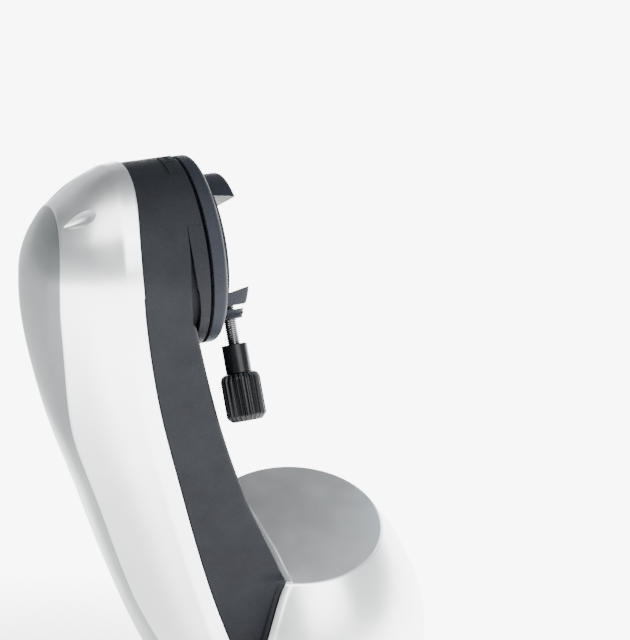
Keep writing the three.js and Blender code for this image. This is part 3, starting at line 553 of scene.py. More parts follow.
SILVER = silver_paint("silver_paint", (0.74, 0.75, 0.765), (0.82, 0.825, 0.83))
# Painted shade: the crown uses the same silver paint as the rest, darkened where the crown faces
# away from the light.
CROWN_PAINTED_SHADE = silver_paint("crown_painted_shade", (0.2, 0.212, 0.216), (0.24, 0.25, 0.255))
CASTING = textured_paint("casting_paint", (0.007, 0.0075, 0.009), (0.011, 0.012, 0.0145), 0.06)
DISC = textured_paint("disc_paint", (0.009, 0.01, 0.0135), (0.014, 0.0155, 0.021), 0.08)
PLASTIC = moulded_plastic("black_plastic", (0.005, 0.0055, 0.006), (0.009, 0.01, 0.011),
                          0.36, 0.5)
GRIP = moulded_plastic("grip_plastic", (0.0015, 0.0017, 0.0022), (0.003, 0.0034, 0.0045),
                       0.25, 0.32)
RUBBER = moulded_plastic("rubber", (0.012, 0.012, 0.012), (0.02, 0.02, 0.02), 0.75, 0.9)
STEEL = metal("turned_steel", (0.17, 0.175, 0.18), (0.26, 0.265, 0.27), 0.2, 0.34,
              (900, 900, 40))
BRASS = metal("brass", (0.5, 0.34, 0.12), (0.66, 0.47, 0.19), 0.25, 0.4, (700, 700, 60))
BOARD = circuit_board()
LENS = lamp_lens()

# ---- silver outer shell ----


def section_at(z):
    low = smoothstep(z, *FOOT_TO_ARM)
    high = smoothstep(z, *ARM_TO_HEAD)
    return [(lerp(lerp(foot[0], arm[0], low), head[0], high),
             lerp(lerp(foot[1], arm[1], low), head[1], high))
            for foot, arm, head in zip(FOOT_SECTION, ARM_SECTION, HEAD_SECTION)]


def by_length(points):
    """A function giving the point at a share of a polyline's length, and that length."""
    lengths = [0.0]
    for a, b in zip(points, points[1:]):
        lengths.append(lengths[-1] + (b - a).length)

    def at(share):
        target = share * lengths[-1]
        i = min(max(bisect_left(lengths, target), 1), len(points) - 1)
        span = max(lengths[i] - lengths[i - 1], 1e-9)
        return points[i - 1].lerp(points[i], (target - lengths[i - 1]) / span)

    return at, lengths[-1]


CREASE = 1.6  # millimetres either side of an edge line that are rounded
BAND_STEPS, FLANK_STEPS, CROWN_STEPS, CREASE_STEPS = 4, 26, 26, 5


def shell_depth(z):
    return seam_left(z) - crown_line(z)


def section_knots(z):
    """The points of the section at a height, in millimetres."""
    return [Vector((s * shell_depth(z), h * half_depth(z))) for s, h in section_at(z)]


def flank_curve(knots):
    return by_length(catmull(steered(knots[1:CROWN_KNOT + 1]), 12))


def shell_profile(z):
    """(share of the shell's depth, share of the half depth) from the seam to the crown."""
    knots = section_knots(z)
    edge = knots[CROWN_KNOT]
    mirrored = Vector((knots[-2].x, -knots[-2].y))
    band, band_length = by_length(knots[:2])
    flank, flank_length = flank_curve(knots)
    crown, crown_length = by_length(catmull(
        [2 * edge - knots[CROWN_KNOT + 1]] + knots[CROWN_KNOT:] + [mirrored], 12))
    in_band, in_flank, in_crown = (CREASE / n for n in (band_length, flank_length, crown_length))

    on_crease = steps(0, 1, CREASE_STEPS)[1:-1]
    line = [band(t) for t in steps(0, 1 - in_band, BAND_STEPS)]
    line += bend(line[-1], knots[1], flank(in_flank), on_crease)
    line += [flank(t) for t in steps(in_flank, 1 - in_flank, FLANK_STEPS)]
    line += bend(line[-1], edge, crown(in_crown), on_crease)
    line += [crown(t) for t in steps(in_crown, 1, CROWN_STEPS)]
    return [(p.x / shell_depth(z), p.y / half_depth(z)) for p in line]


def shell_x(share, z):
    """Place along X at a share of the shell's depth."""
    return seam_left(z) - share * shell_depth(z)


LIP_CURL = ((SEAM_GAP, 0.7), (SEAM_GAP + 0.05, 0.35), (SEAM_GAP + 0.3, 0.08), (SEAM_GAP + 0.7, 0))


def shell_edge(z):
    """Where the shell meets the casting, and below it the dome's own shell."""
    return lerp(SEAM_LOW_X, seam_left(z), smoothstep(z, SPLIT_Z - 3, SPLIT_Z + 3))


def over_head(angle, radius, x_of):
    z = ALTITUDE_Z + radius * sin(angle)
    return (x_of(z), -radius * cos(angle), z)


def shell_rows():
    levels = steps(BODY_BOTTOM_Z, ALTITUDE_Z, 104)

    def straight(z, side):
        depth = half_depth(z)
        start = [(shell_edge(z) - inward, side * (depth - drop), z) for inward, drop in LIP_CURL]
        skin = [(shell_x(share, z), side * half * depth, z) for share, half in shell_profile(z)]
        return start + skin[1:]

    head_profile = shell_profile(ALTITUDE_Z)

    def over(angle):
        edge = HEAD_RADIUS * HEAD_SECTION[0][1]
        start = [over_head(angle, edge - drop, lambda z: seam_left(z) - inward)
                 for inward, drop in LIP_CURL]
        skin = [over_head(angle, half * HEAD_RADIUS, lambda z: shell_x(share, z))
                for share, half in head_profile]
        return start + skin[1:]

    rows = [straight(z, -1) for z in levels]
    rows += [over(angle) for angle in steps(0, pi, 116)[1:-1]]
    rows += [straight(z, 1) for z in reversed(levels)]
    return rows


SCOOP_ANGLES = (radians(60), radians(57.5))  # over the head, tip and round end
SCOOP_ALONG = (3.5, 23.3)  # millimetres from the crown's edge line
SCOOP_HALF_WIDTH = 4.7
SCOOP_DEPTH = 2.1


def scoop_shape(side):
    """A tool for the drop-shaped hollow: a bowl that follows the skin, closed above it."""
    at, length = flank_curve(section_knots(ALTITUDE_Z))

    def skin(angle, along):
        p = at(1 - along / length)
        z = ALTITUDE_Z + p.y * sin(angle)
        return Vector((shell_x(p.x / shell_depth(ALTITUDE_Z), z), side * p.y * cos(angle), z))

    def lifted(angle, along, lift):
        here = skin(angle, along)
        normal = (skin(angle + 0.01, along) - here).cross(skin(angle, along + 0.5) - here)
        outward = here - Vector((seam_left(here.z), 0, ALTITUDE_Z))
        return here + normal.normalized() * copysign(lift, lift * normal.dot(outward))

    outline = []
    for turn in steps(0, tau, 64)[:-1]:
        share = (1 - cos(turn)) / 2
        width = copysign(2.32 * SCOOP_HALF_WIDTH * share**0.75 * (1 - share) ** 0.5, sin(turn))
        outline.append(Vector((lerp(*SCOOP_ANGLES, share) + width / (0.8 * HEAD_RADIUS),
                               lerp(*SCOOP_ALONG, share))))
    deepest = Vector((lerp(*SCOOP_ANGLES, 0.62), lerp(*SCOOP_ALONG, 0.62)))
    rings = [(r, -SCOOP_DEPTH * (1 - r * r))
             for r in (0, 0.2, 0.4, 0.58, 0.74, 0.87, 0.96, 1, 1.1)]
    rows = [[lifted(*deepest.lerp(p, r), lift) for p in outline]
            for r, lift in rings + [(1.1, 3), (0, 3)]]
    return grid(rows, close_columns=True)


def on_crown(place):
    """Whether a place on the shell is beyond the edge line, where the silver is darkened as
    painted shade.
    """
    share = (seam_left(place.z) - place.x) / shell_depth(place.z)
    return share > section_at(place.z)[CROWN_KNOT][0]


def build_outer_shell():
    shell = make_object("outer_shell", grid(shell_rows()), closed=False)
    if shell.data.polygons[0].normal.y > 0:
        shell.data.flip_normals()
    thicken(shell, SHELL_THICKNESS)
    cut(shell, scoop_shape(-1), scoop_shape(1))
    shade(shell, 27)
    finish(shell, "azimuth_head", SILVER, ["arm_outer_shell"])
    # Faces on the crown get the darker silver, which is painted shade.
    shell.data.materials.append(CROWN_PAINTED_SHADE)
    for face in shell.data.polygons:
        face.material_index = int(on_crown(face.center / MM))


# ---- dark casting ----


def skirt_radius(fall):
    """The dome's radius at a depth below its rim; above the rim it quickly closes."""
    if fall < 0:
        return max(0.0, CAP_RADIUS + 12 * fall)
    share = clamp(fall / SKIRT_HEIGHT)
    return lerp(CAP_RADIUS, SKIRT_RADIUS, 1 - (1 - share) ** SKIRT_POWER)


def dome_depth(x, z, side):
    """How far the dome reaches along Y at a place on its side."""
    y = side * 60.0
    for _ in range(12):
        fall = (CAP_Z - z + CAP_SLOPE * y) / (1 + CAP_SLOPE * y / SKIRT_HEIGHT)
        y = side * sqrt(max(skirt_radius(fall) ** 2 - x * x, 0))
    return abs(y)


BELOW_DOME = 0.6  # how far the band lies inside the dome's skin
BLEND = 5.0  # width of the rounded change from the arm's depth to the dome's


def band_depth(x, z, side):
    """Half depth of the band at the dome's side, where it comes nearly flush with the dome."""
    arm = half_depth(z)
    if z > CAP_Z + 15:
        return arm
    dome = dome_depth(x, z, side) - BELOW_DOME
    return max(arm, dome) + max(BLEND - abs(arm - dome), 0) ** 2 / (4 * BLEND)


def right_line(z):
    """The middle of the line between the casting and what is to its right."""
    return inner_face(z) if z >= CORNER_Z else seam_right_low(z)


def right_edge(z):
    return right_line(z) - SEAM_GAP


BAND_COLUMNS = 18
BAND_LIP = 0.6  # how far the band's first edge turns in at the seam
QUARTER = steps(0, pi / 2, 6)[1:]
FLUSH_ANGLE = radians(39)  # above this the band runs on to the turning disc


def casting_rows():
    def straight(z, side):
        left, right = seam_left(z) + SEAM_GAP, right_edge(z)
        rounding = lerp(0.4, lerp(3.0, 0.5, smoothstep(z, 290, 350)), smoothstep(z, 135, 165))
        fillet = min(rounding, 0.3 * (right - left))
        swell = band_depth(right, z, side) - half_depth(z)
        band = [(lerp(left, right - fillet, t), side * (half_depth(z) + swell * t**3), z)
                for t in steps(0, 1, BAND_COLUMNS)]
        edge = abs(band[-1][1])
        band[0] = (left, side * (abs(band[0][1]) - BAND_LIP), z)
        turn = [(right - fillet * (1 - sin(a)), side * (edge - fillet * (1 - cos(a))), z)
                for a in QUARTER]
        flat = [(right, side * y, z) for y in steps(edge - fillet, 0, 16)[1:]]
        return band[:1] + [(left + 0.5, side * abs(band[1][1]), z)] + band[1:] + turn + flat

    def over(angle, flush):
        fillet = 0.7

        def right(z):
            return GAP_PLANE_X - 1 if flush else right_edge(z)

        def left(z):
            return seam_left(z) + SEAM_GAP

        band = [over_head(angle, HEAD_RADIUS, lambda z: lerp(left(z), right(z) - fillet, t))
                for t in steps(0, 1, BAND_COLUMNS)]
        start = [over_head(angle, HEAD_RADIUS - BAND_LIP, left),
                 over_head(angle, HEAD_RADIUS, lambda z: left(z) + 0.5)]
        turn = [over_head(angle, HEAD_RADIUS - fillet * (1 - cos(a)),
                          lambda z: right(z) - fillet * (1 - sin(a)))
                for a in QUARTER]
        flat = [over_head(angle, radius, right)
                for radius in steps(HEAD_RADIUS - fillet, 0, 16)[1:]]
        return start + band[1:] + turn + flat

    levels = steps(SPLIT_Z + GAP, CORNER_Z - 0.5, 26) + steps(CORNER_Z + 0.5, ALTITUDE_Z, 72)
    rows = [straight(z, -1) for z in levels]
    rows += [over(angle, False) for angle in steps(0, FLUSH_ANGLE, 14)[1:]]
    rows += [over(angle, True) for angle in steps(FLUSH_ANGLE, pi - FLUSH_ANGLE, 60)]
    rows += [over(angle, False) for angle in steps(pi - FLUSH_ANGLE, pi, 14)[:-1]]
    rows += [straight(z, 1) for z in reversed(levels)]
    return rows


def on_axis(shape):
    return moved(shape, shift(0, 0, ALTITUDE_Z))


def rod_along_x(radius, low, high, y, z, segments=32):
    return moved(along_x(turned(rod(radius, low, high), segments)), shift(0, y, z))


def moat_shape():
    """The groove between the arm and the boss ring: a fine line above that opens downwards."""
    rows = []
    for angle in steps(FLUSH_ANGLE, -pi - FLUSH_ANGLE, 150):
        above = max(angle, -pi - angle)
        start = inner_face(ALTITUDE_Z + HEAD_RADIUS * sin(angle)) - 0.6 if above > 0 else -81
        end = start + lerp(5.6, 0.3, smoothstep(above, radians(-20), FLUSH_ANGLE))
        profile = [(start, 52), (start, 59.6), (-60, 59.6), (-60, BOSS_RADIUS),
                   (end, BOSS_RADIUS), (end, 52)]
        rows.append([(x, -radius * cos(angle), ALTITUDE_Z + radius * sin(angle))
                     for x, radius in profile])
    return with_ends(rows)


def build_casting():
    casting = make_object("arm_casting_skin", grid(casting_rows()), closed=False)
    if casting.data.polygons[2].normal.y > 0:
        casting.data.flip_normals()
    thicken(casting, 3)
    ring = rounded([(SHAFT_BORE, -86), (BOSS_RADIUS, -86), (BOSS_RADIUS, GAP_PLANE_X - 1),
                    (SHAFT_BORE, GAP_PLANE_X - 1)], [0, 0, 0.6, 0], closed=True)
    join(casting, on_axis(along_x(turned(ring, 144))))
    cut(casting, moat_shape(), rod_along_x(13, -130, -60, 0, ALTITUDE_Z, 48),
        rod_along_x(SHAFT_BORE, -80.7, -60, 0, ALTITUDE_Z, 48))
    for z, y in SHELL_SCREWS:
        face = inner_face(z)
        join(casting, rod_along_x(6.5, face - 8, face - 2.6, y, z, 32))
        cut(casting, rod_along_x(4.1, face - 5, face + 9, y, z, 40),
            rod_along_x(SHANK_BORE, face - 30, face + 5, y, z, 16))
    shade(casting, 35)
    finish(casting, "azimuth_head", CASTING, ["arm_casting"])


def build_index_plate():
    """A thin arc on top of the boss, with plain tick marks."""
    under, top = HEAD_RADIUS - 0.2, HEAD_RADIUS + 0.75
    arc = [(under, -79), (top, -79), (top, -71), (under, -71)]
    plate = make_object("index_arc", on_axis(sector(arc, 77, 103, 60)))
    for angle in (-9, -4.5, 0, 4.5, 9):
        tall = 5 if angle == 0 else 3
        tick = block(about(-75, tall / 2), about(0, 0.35),
                     (HEAD_RADIUS + 0.4, HEAD_RADIUS + 1.05), 0.3)
        join(plate, on_axis(moved(tick, Matrix.Rotation(radians(angle), 4, "X"))))
    soften(plate, 0.3)
    finish(plate, "azimuth_head", CASTING, ["index_plate"])


# ---- silver dome ----

LIP_WIDTH = 4.2  # the raised lip along the arm
LIP_RISE = 0.5
LIP_OFFSETS = (0, 0.12, 0.35, 0.8, 2, 3.2, 3.9, 4.6, 5.4)


def dome_seam(z):
    if z < SPLIT_Z:
        return SEAM_LOW_X + SEAM_GAP
    return right_line(z) + lerp(SEAM_GAP, CAP_GAP, smoothstep(z, CORNER_Z + 1, CORNER_Z + 6))


def lip_height(offset):
    """Height of the lip above the dome at a distance from the seam."""
    curl = -0.6 * (1 - clamp(offset / 0.8)) ** 2
    return curl + LIP_RISE * (1 - smoothstep(offset, LIP_WIDTH - 1, LIP_WIDTH + 0.8))


def skirt_point(angle, radius, fall):
    """A point on the dome's side, whose rows are level at the foot and lean at the rim."""
    y = radius * sin(angle)
    lean = CAP_SLOPE * (1 - clamp(fall / SKIRT_HEIGHT))
    return Vector((radius * cos(angle), y, CAP_Z - fall + lean * y))


def seam_angle(radius, fall, side):
    """Where a row of the dome meets the arm."""
    low, high = radians(60), pi
    for _ in range(40):
        middle = (low + high) / 2
        point = skirt_point(side * middle, radius, fall)
        low, high = (middle, high) if point.x > dome_seam(point.z) else (low, middle)
    return side * low


def skirt_row(radius, fall):
    front, back = seam_angle(radius, fall, -1), seam_angle(radius, fall, 1)
    rise = smoothstep(CAP_Z - fall, SPLIT_Z - 6, SPLIT_Z + 4)
    near = [(front + offset / radius, lip_height(offset) * rise) for offset in LIP_OFFSETS]
    far = [(back - offset / radius, lip_height(offset) * rise) for offset in LIP_OFFSETS]
    middle = steps(near[-1][0], far[-1][0], 120)[1:-1]
    columns = near + [(angle, 0.0) for angle in middle] + far[::-1]
    return [skirt_point(angle, radius + lift, fall) for angle, lift in columns]


def cap_height(x, y):
    share = hypot(x, y) / CAP_RADIUS
    return CAP_Z + CAP_CROWN * (1 - share * share) + CAP_SLOPE * y


CAP_CENTRE = Vector((12, 0))
RIM_FALL = 1.0  # the rounded edge of the facet, down the skirt and in along the facet
RIM_WIDTH = 1.3
CAP_LOOPS = (0.997, 0.99, 0.98, 0.955, 0.93, 0.905, 0.885, 0.865, 0.84, 0.8, 0.74, 0.66,
             0.56, 0.45, 0.33, 0.2, 0.1)


def dome_shape():
    """Rows from the foot up to the rim, then loops that close over the cap."""
    falls = [CAP_Z - BODY_BOTTOM_Z, 88]
    falls += [lerp(RIM_FALL, SKIRT_HEIGHT, (1 - t) ** 1.7) for t in steps(0, 1, 42)]
    outer = Vector((skirt_radius(RIM_FALL), RIM_FALL))
    rim_corner = Vector((CAP_RADIUS, 0))
    inner = Vector((CAP_RADIUS - RIM_WIDTH, -2 * CAP_CROWN * RIM_WIDTH / CAP_RADIUS))
    curve = bend(outer, rim_corner, inner, steps(0, 1, 5)[1:])
    rows = [skirt_row(skirt_radius(fall), fall) for fall in falls]
    rows += [skirt_row(radius, fall) for radius, fall in curve]
    verts, faces = grid(rows)
    width = len(rows[0])
    rim = list(range(len(verts) - width, len(verts)))
    start, end = verts[rim[0]], verts[rim[-1]]
    chord = []
    for t in steps(0, 1, 40)[1:-1]:
        y = lerp(end.y, start.y, t)
        x = lerp(end.x, start.x, t)
        for _ in range(6):
            x = dome_seam(cap_height(x, y))
        chord.append(Vector((x, y)))
    outline = [verts[i].to_2d() for i in rim] + chord
    loop = rim + list(range(len(verts), len(verts) + len(chord)))
    verts += [Vector((p.x, p.y, cap_height(p.x, p.y) + lip_height(0))) for p in chord]
    for scale in CAP_LOOPS:
        inner = list(range(len(verts), len(verts) + len(outline)))
        for j, p in enumerate(outline):
            flat = CAP_CENTRE.lerp(p, scale)
            along_seam = dome_seam(cap_height(*flat))
            lip = lip_height(flat.x - along_seam) if j >= width or flat.x - along_seam < 6 else 0
            fade = smoothstep(scale, 0.9, 1.0) if j < width else 0.0
            rim_z = verts[rim[j]].z - cap_height(*verts[rim[j]].to_2d()) if j < width else 0.0
            verts.append(Vector((flat.x, flat.y, cap_height(*flat) + lip + rim_z * fade)))
        count = len(loop)
        faces += [(loop[j], loop[(j + 1) % count], inner[(j + 1) % count], inner[j])
                  for j in range(count)]
        loop = inner
    verts.append(Vector((*CAP_CENTRE, cap_height(*CAP_CENTRE))))
    faces += [(loop[j], loop[(j + 1) % len(loop)], len(verts) - 1) for j in range(len(loop))]
    return verts, faces


def build_dome():
    dome = make_object("dome_skin", dome_shape(), closed=False)
    if max(dome.data.polygons, key=lambda face: face.center.z).normal.z < 0:
        dome.data.flip_normals()
    thicken(dome, SHELL_THICKNESS)
    cut(dome, block(about(0, PANEL_WIDTH / 2), (PANEL_FACE_Y - 12, SKIRT_RADIUS + 5),
                    about(PANEL_Z, PANEL_HEIGHT / 2)))
    shade(dome, 40)
    finish(dome, "azimuth_head", SILVER, ["dome_shell"])


# ---- altitude disc, saddle and clamp ----

TILT = shift(0, 0, ALTITUDE_Z) @ Matrix.Rotation(-REST_ALTITUDE, 4, "X")
AT_CLAMP = shift(CLAMP_X, 0, 0)


def cap_screw(length, head=3.6, head_depth=3.0, shank=1.6):
    """A socket head screw pointing down, its head's top at z = 0."""
    shape = rounded([(0, -length), (shank - 0.4, -length), (shank, -length + 0.5),
                     (shank, -head_depth), (head, -head_depth), (head, 0), (0, 0)],
                    [0, 0, 0, 0, 0.2, 0.5, 0])
    screw = make_object("screw", turned(shape, 40))
    hexagon = [(1.75 * cos(a), 1.75 * sin(a)) for a in steps(0, tau, 6)[:-1]]
    cut(screw, prism(hexagon, -1.7, 1))
    return screw


def place_screws(length, name, body, matrices, replaced):
    for i, matrix in enumerate(matrices):
        screw = cap_screw(length)
        screw.name = f"{name}_{i + 1}"
        put(screw, matrix)
        soften(screw, 0.12)
        finish(screw, body, STEEL, [replaced[i]])


FACING_X = Matrix.Rotation(pi / 2, 4, "Y")


def build_disc():
    profile = rounded([(10.3, DISC_X), (DISC_RADIUS, DISC_X), (DISC_RADIUS, DISC_X + 7.2),
                       (DISC_RADIUS - 3, DISC_X + DISC_THICKNESS),
                       (10.3, DISC_X + DISC_THICKNESS)],
                      [0, 0.6, 3.5, 2.2, 0], 6, closed=True)
    disc = make_object("altitude_plate", moved(along_x(turned(profile, 160)), TILT))
    shade(disc, 35)
    finish(disc, "altitude_head", DISC, ["altitude_disc"])


def build_saddle():
    puck = rounded([(0, PUCK_X), (PUCK_RADIUS, PUCK_X), (PUCK_RADIUS, FACE_X), (0, FACE_X)],
                   [0, 0.4, 2.2, 0], 6)
    saddle = make_object("saddle", along_x(turned(puck, 144)))
    boss = rounded([(0, -BOSS_END), (8, -BOSS_END), (8, -POCKET_END + 2), (0, -POCKET_END + 2)],
                   [0, 0.8, 0, 0])
    join(saddle, moved(turned(boss, 48), AT_CLAMP),
         block((PUCK_X + 2, CLAMP_X + 7), (-8, 8), (-BOSS_END + 2, -POCKET_END + 1), 0.8))
    groove = [(FLOOR_X, -GROOVE_BOTTOM[0]), (FACE_X, -GROOVE_BOTTOM[1]),
              (FACE_X + 9, -GROOVE_BOTTOM[1]), (FACE_X + 9, GROOVE_TOP[1]),
              (FACE_X, GROOVE_TOP[1]), (FLOOR_X, GROOVE_TOP[0])]
    lying = Matrix(((1, 0, 0, 0), (0, 0, -1, 0), (0, 1, 0, 0), (0, 0, 0, 1)))
    cut(saddle, moved(prism(groove, -60, 60), lying),
        moved(block((FLOOR_X, FACE_X + 9), (-POCKET_END, -GROOVE_BOTTOM[1] + 3),
                    about(0, JAW_HALF_LENGTH + GAP)), lying),
        moved(turned(rod(SCREW_RADIUS + GAP, -80, -20), 40), AT_CLAMP))
    for y, z in SADDLE_SCREWS:
        cut(saddle, rod_along_x(SHANK_BORE, PUCK_X - 1, FACE_X, y, z, 24),
            rod_along_x(3.9, FLOOR_X - 3.6, FACE_X, y, z, 40))
    soften(saddle, 0.5, 38, 3)
    put(saddle, TILT)
    finish(saddle, "altitude_head", DISC, ["saddle_body"])

    outline = [(FLOOR_X + GAP, -GROOVE_BOTTOM[0]), (FACE_X, -GROOVE_BOTTOM[1]),
               (FACE_X, -JAW_BACK), (FLOOR_X + GAP, -JAW_BACK)]
    jaw = make_object("jaw", moved(prism(outline, -JAW_HALF_LENGTH, JAW_HALF_LENGTH), lying))
    cut(jaw, moved(turned(rod(SCREW_RADIUS - 0.7, -JAW_BACK - 1, -JAW_BACK + 3.3), 40), AT_CLAMP))
    soften(jaw, 0.7, 38, 3)
    put(jaw, TILT)
    finish(jaw, "clamp", DISC, ["clamp_jaw"])


def thread_shape(low, high, radius, depth, pitch, segments=36):
    """A rod about Z with a helical thread that fades out at both ends."""
    per_turn = 8
    count = int((high - low) / pitch * per_turn)
    rows = []
    for i, z in enumerate(steps(low, high, count)):
        fade = clamp(min(i, count - i) / per_turn)
        waves = [abs(((z / pitch - j / segments) % 1) * 2 - 1) for j in range(segments)]
        rows.append(round_row([radius - depth * clamp((wave - 0.15) / 0.7) * fade
                               for wave in waves], z))
    rows = [[(0, 0, low)] * segments] + rows + [[(0, 0, high)] * segments]
    return grid(rows, close_columns=True)


def build_clamp_handle():
    tip = -JAW_BACK + 3
    thread = thread_shape(-NECK_START - 12, tip - 3.6, SCREW_RADIUS, 0.8, THREAD_PITCH)
    nose = turned(rod(SCREW_RADIUS - 1, tip - 4, tip, 0.3), 40)
    screw = make_object("clamp_rod", moved(merged(thread, nose), TILT @ AT_CLAMP))
    shade(screw, 60)
    finish(screw, "clamp_handle", STEEL, ["clamp_screw"])

    outline = [(7.6, -BARREL_END), (9.2, -BARREL_END), (BARREL_RADIUS, -BARREL_END + 3.2),
               (BARREL_RADIUS, -BARREL_START - 4), (10.9, -BARREL_START - 1.3),
               (NECK_RADIUS, -BARREL_START)]
    barrel = rounded(outline, [0, 1, 1.6, 4, 3, 0], 5)
    columns = BARREL_RIBS * 12
    grooves = [GROOVE_DEPTH * smoothstep(abs((j / columns * BARREL_RIBS % 1) * 2 - 1), 0.12, 0.62)
               for j in range(columns)]
    ribbed = [round_row([p.x - groove * smoothstep(p.x, 9, 11) for groove in grooves], p.y)
              for p in barrel]
    neck = rounded([(NECK_RADIUS, -BARREL_START), (NECK_RADIUS, -NECK_START),
                    (SCREW_RADIUS + GAP, -NECK_START), (SCREW_RADIUS + GAP, -NECK_START - 12.3),
                    (0, -NECK_START - 12.3)], [0, 0.8, 0.2, 0, 0])
    end = [(0, -BARREL_END + 0.5), (6.2, -BARREL_END + 0.5), (6.8, -BARREL_END)]
    ring, tail = [[round_row([r] * columns, z) for r, z in line] for line in (end, neck)]
    knob = make_object("knob", moved(grid(ring + ribbed + tail, close_columns=True),
                                     TILT @ AT_CLAMP))
    shade(knob, 40)
    finish(knob, "clamp_handle", GRIP, ["clamp_knob"])


# ---- base ----


def threaded_bore(inner, outer, low, high, pitch, depth):
    """The profile of a ring whose inside carries grooves."""
    count = int((high - low) / pitch * 2)
    inside = [(inner + (depth if i % 2 else 0), z) for i, z in enumerate(steps(low, high, count))]
    return inside + [(outer, high), (outer, low)]


def build_base():
    profile = rounded([(0, 0), (BASE_RADIUS, 0), (BASE_RADIUS, BASE_THICKNESS),
                       (0, BASE_THICKNESS)], [0, 3, 1.2, 0], 6)
    plate = make_object("base_disc", turned(profile, 160))
    cut(plate, turned(rod(INSERT_RADIUS + GAP, -1, 11), 64))
    for angle in BASE_ANGLES:
        direction = Vector((cos(angle), sin(angle), 0))
        cut(plate, moved(turned(rod(9.3, -1, 2.5), 64),
                         Matrix.Translation(direction * PAD_DISTANCE)),
            moved(turned(rod(SHANK_BORE, 3, 11), 24), Matrix.Translation(direction * 18)))
    shade(plate, 35)
    finish(plate, "base", CASTING, ["base_plate"])

    thread = threaded_bore(4.8, INSERT_RADIUS, 0, BASE_THICKNESS - GAP, 1.6, 0.5)
    insert = make_object("threaded_insert", turned(thread, 64))
    shade(insert, 35)
    finish(insert, "base", BRASS, ["tripod_insert"])

    foot = [(0, 0.35), (3, 0.35), (3.6, 0), (5, 0), (5.6, 0.35), (6.6, 0.35), (7.2, 0),
            (8.6, 0), (9, 0.4), (9, 2.2), (0, 2.2)]
    for i, angle in enumerate(BASE_ANGLES):
        place = shift(PAD_DISTANCE * cos(angle), PAD_DISTANCE * sin(angle), 0)
        pad = make_object(f"rubber_foot_{i + 1}", moved(turned(foot, 64), place))
        shade(pad, 30)
        finish(pad, "base", RUBBER, [f"base_pad_{i + 1}"])


# ---- control panel ----

# Local frame: +X points out of the dome, the face lies at x = 0 and y runs along the panel.
ON_PANEL = Matrix(((0, -1, 0, 0), (1, 0, 0, PANEL_FACE_Y), (0, 0, 1, PANEL_Z), (0, 0, 0, 1)))


def standing(shape_along_x):
    return moved(shape_along_x, ON_PANEL)


def upright(xs, ys, zs, radius):
    """A box along local X with the four edges that run along X rounded."""
    side = prism(rounded([(ys[0], zs[0]), (ys[1], zs[0]), (ys[1], zs[1]), (ys[0], zs[1])],
                         [radius] * 4, closed=True), *xs)
    return standing(moved(side, Matrix(((0, 0, 1), (1, 0, 0), (0, 1, 0))).to_4x4()))


def build_panel():
    def fixed(obj, node):
        finish(obj, "azimuth_head", PLASTIC, [node])

    half_width, half_height = PANEL_WIDTH / 2 - GAP, PANEL_HEIGHT / 2 - GAP
    panel = make_object("rear_panel",
                        upright((-3, 0), about(0, half_width), about(0, half_height), 0.8))
    cut(panel, standing(rod_along_x(5.8, -9, 9, JACK_Y, 0, 48)),
        upright((-9, 9), about(SOCKET_Y, 6.9), (-6.4, 6.4), 0.4),
        upright((-9, 9), about(SWITCH_Y, 9.3), (-6.3, 6.3), 0.4),
        standing(rod_along_x(1.8, -9, 9, LAMP_Y, 8, 24)))
    soften(panel, 0.3)
    fixed(panel, "control_panel")

    jack_line = rounded([(0, -14), (5.5, -14), (5.5, 0.3), (7, 0.3), (7, 2), (3.3, 2), (3.3, -9),
                         (1.1, -9), (1.1, -5), (0, -5)], [0, 0.3, 0, 0.2, 0.5, 0.4, 0, 0, 0.5, 0])
    jack_shape = moved(along_x(turned(jack_line, 64)), shift(0, JACK_Y, 0))
    jack = make_object("jack", standing(jack_shape))
    shade(jack, 35)
    fixed(jack, "power_jack")

    socket = make_object("modular_socket",
                         upright((-15, 1), about(SOCKET_Y, 6.6), (-6.1, 6.1), 0.3))
    join(socket, upright((0.3, 1.2), about(SOCKET_Y, 7.6), (-7.1, 7.1), 0.8))
    cut(socket, upright((-12, 5), about(SOCKET_Y, 4.9), (-4.4, 2.6), 0.2),
        upright((-12, 5), about(SOCKET_Y, 2.2), (2, 4.6), 0.2))
    soften(socket, 0.2)
    fixed(socket, "handset_socket")

    pins = [upright((-11.9, -3), about(SOCKET_Y + y, 0.22), (-4.38, -3.9), 0.05)
            for y in (-3, -1.8, -0.6, 0.6, 1.8, 3)]
    contacts = make_object("socket_contacts", merged(*pins))
    finish(contacts, "azimuth_head", BRASS)

    housing = make_object("rocker_frame", upright((-12, 0.5), about(SWITCH_Y, 9), (-6, 6), 0.4))
    join(housing, upright((0.3, 1.5), about(SWITCH_Y, 10.5), (-7.5, 7.5), 1))
    cut(housing, upright((-9.5, 5), about(SWITCH_Y, 8), (-4.8, 4.8), 0.3))
    soften(housing, 0.3)
    fixed(housing, "switch_housing")

    outline = rounded([(-6.6, -4.4), (0, -2.2), (6.6, -4.4), (6.6, 4.6), (0, 3.3), (-6.6, 4.6)],
                      [0.3, 1, 0.3, 0.6, 4, 0.6], closed=True)
    pivot = shift(ROCKER_PIVOT_X, SWITCH_Y, 0)
    turn = Matrix.Rotation(-ROCKER_TILT - pi / 2, 4, "Z")
    rocker = make_object("rocker", standing(moved(prism(outline, -4.4, 4.4), pivot @ turn)))
    soften(rocker, 0.3)
    finish(rocker, "power_rocker", PLASTIC, ["power_switch"])

    lens_line = rounded([(0, -6), (1.5, -6), (1.5, 0.8), (0, 0.8)], [0, 0, 1.2, 0], 6)
    lens_shape = moved(along_x(turned(lens_line, 32)), shift(0, LAMP_Y, 8))
    lens = make_object("lamp_lens", standing(lens_shape))
    shade(lens, 40)
    finish(lens, "azimuth_head", LENS, ["power_lamp"])


# ---- everything ----


def numbered(name):
    return [f"{name}_{i}" for i in (1, 2, 3)]


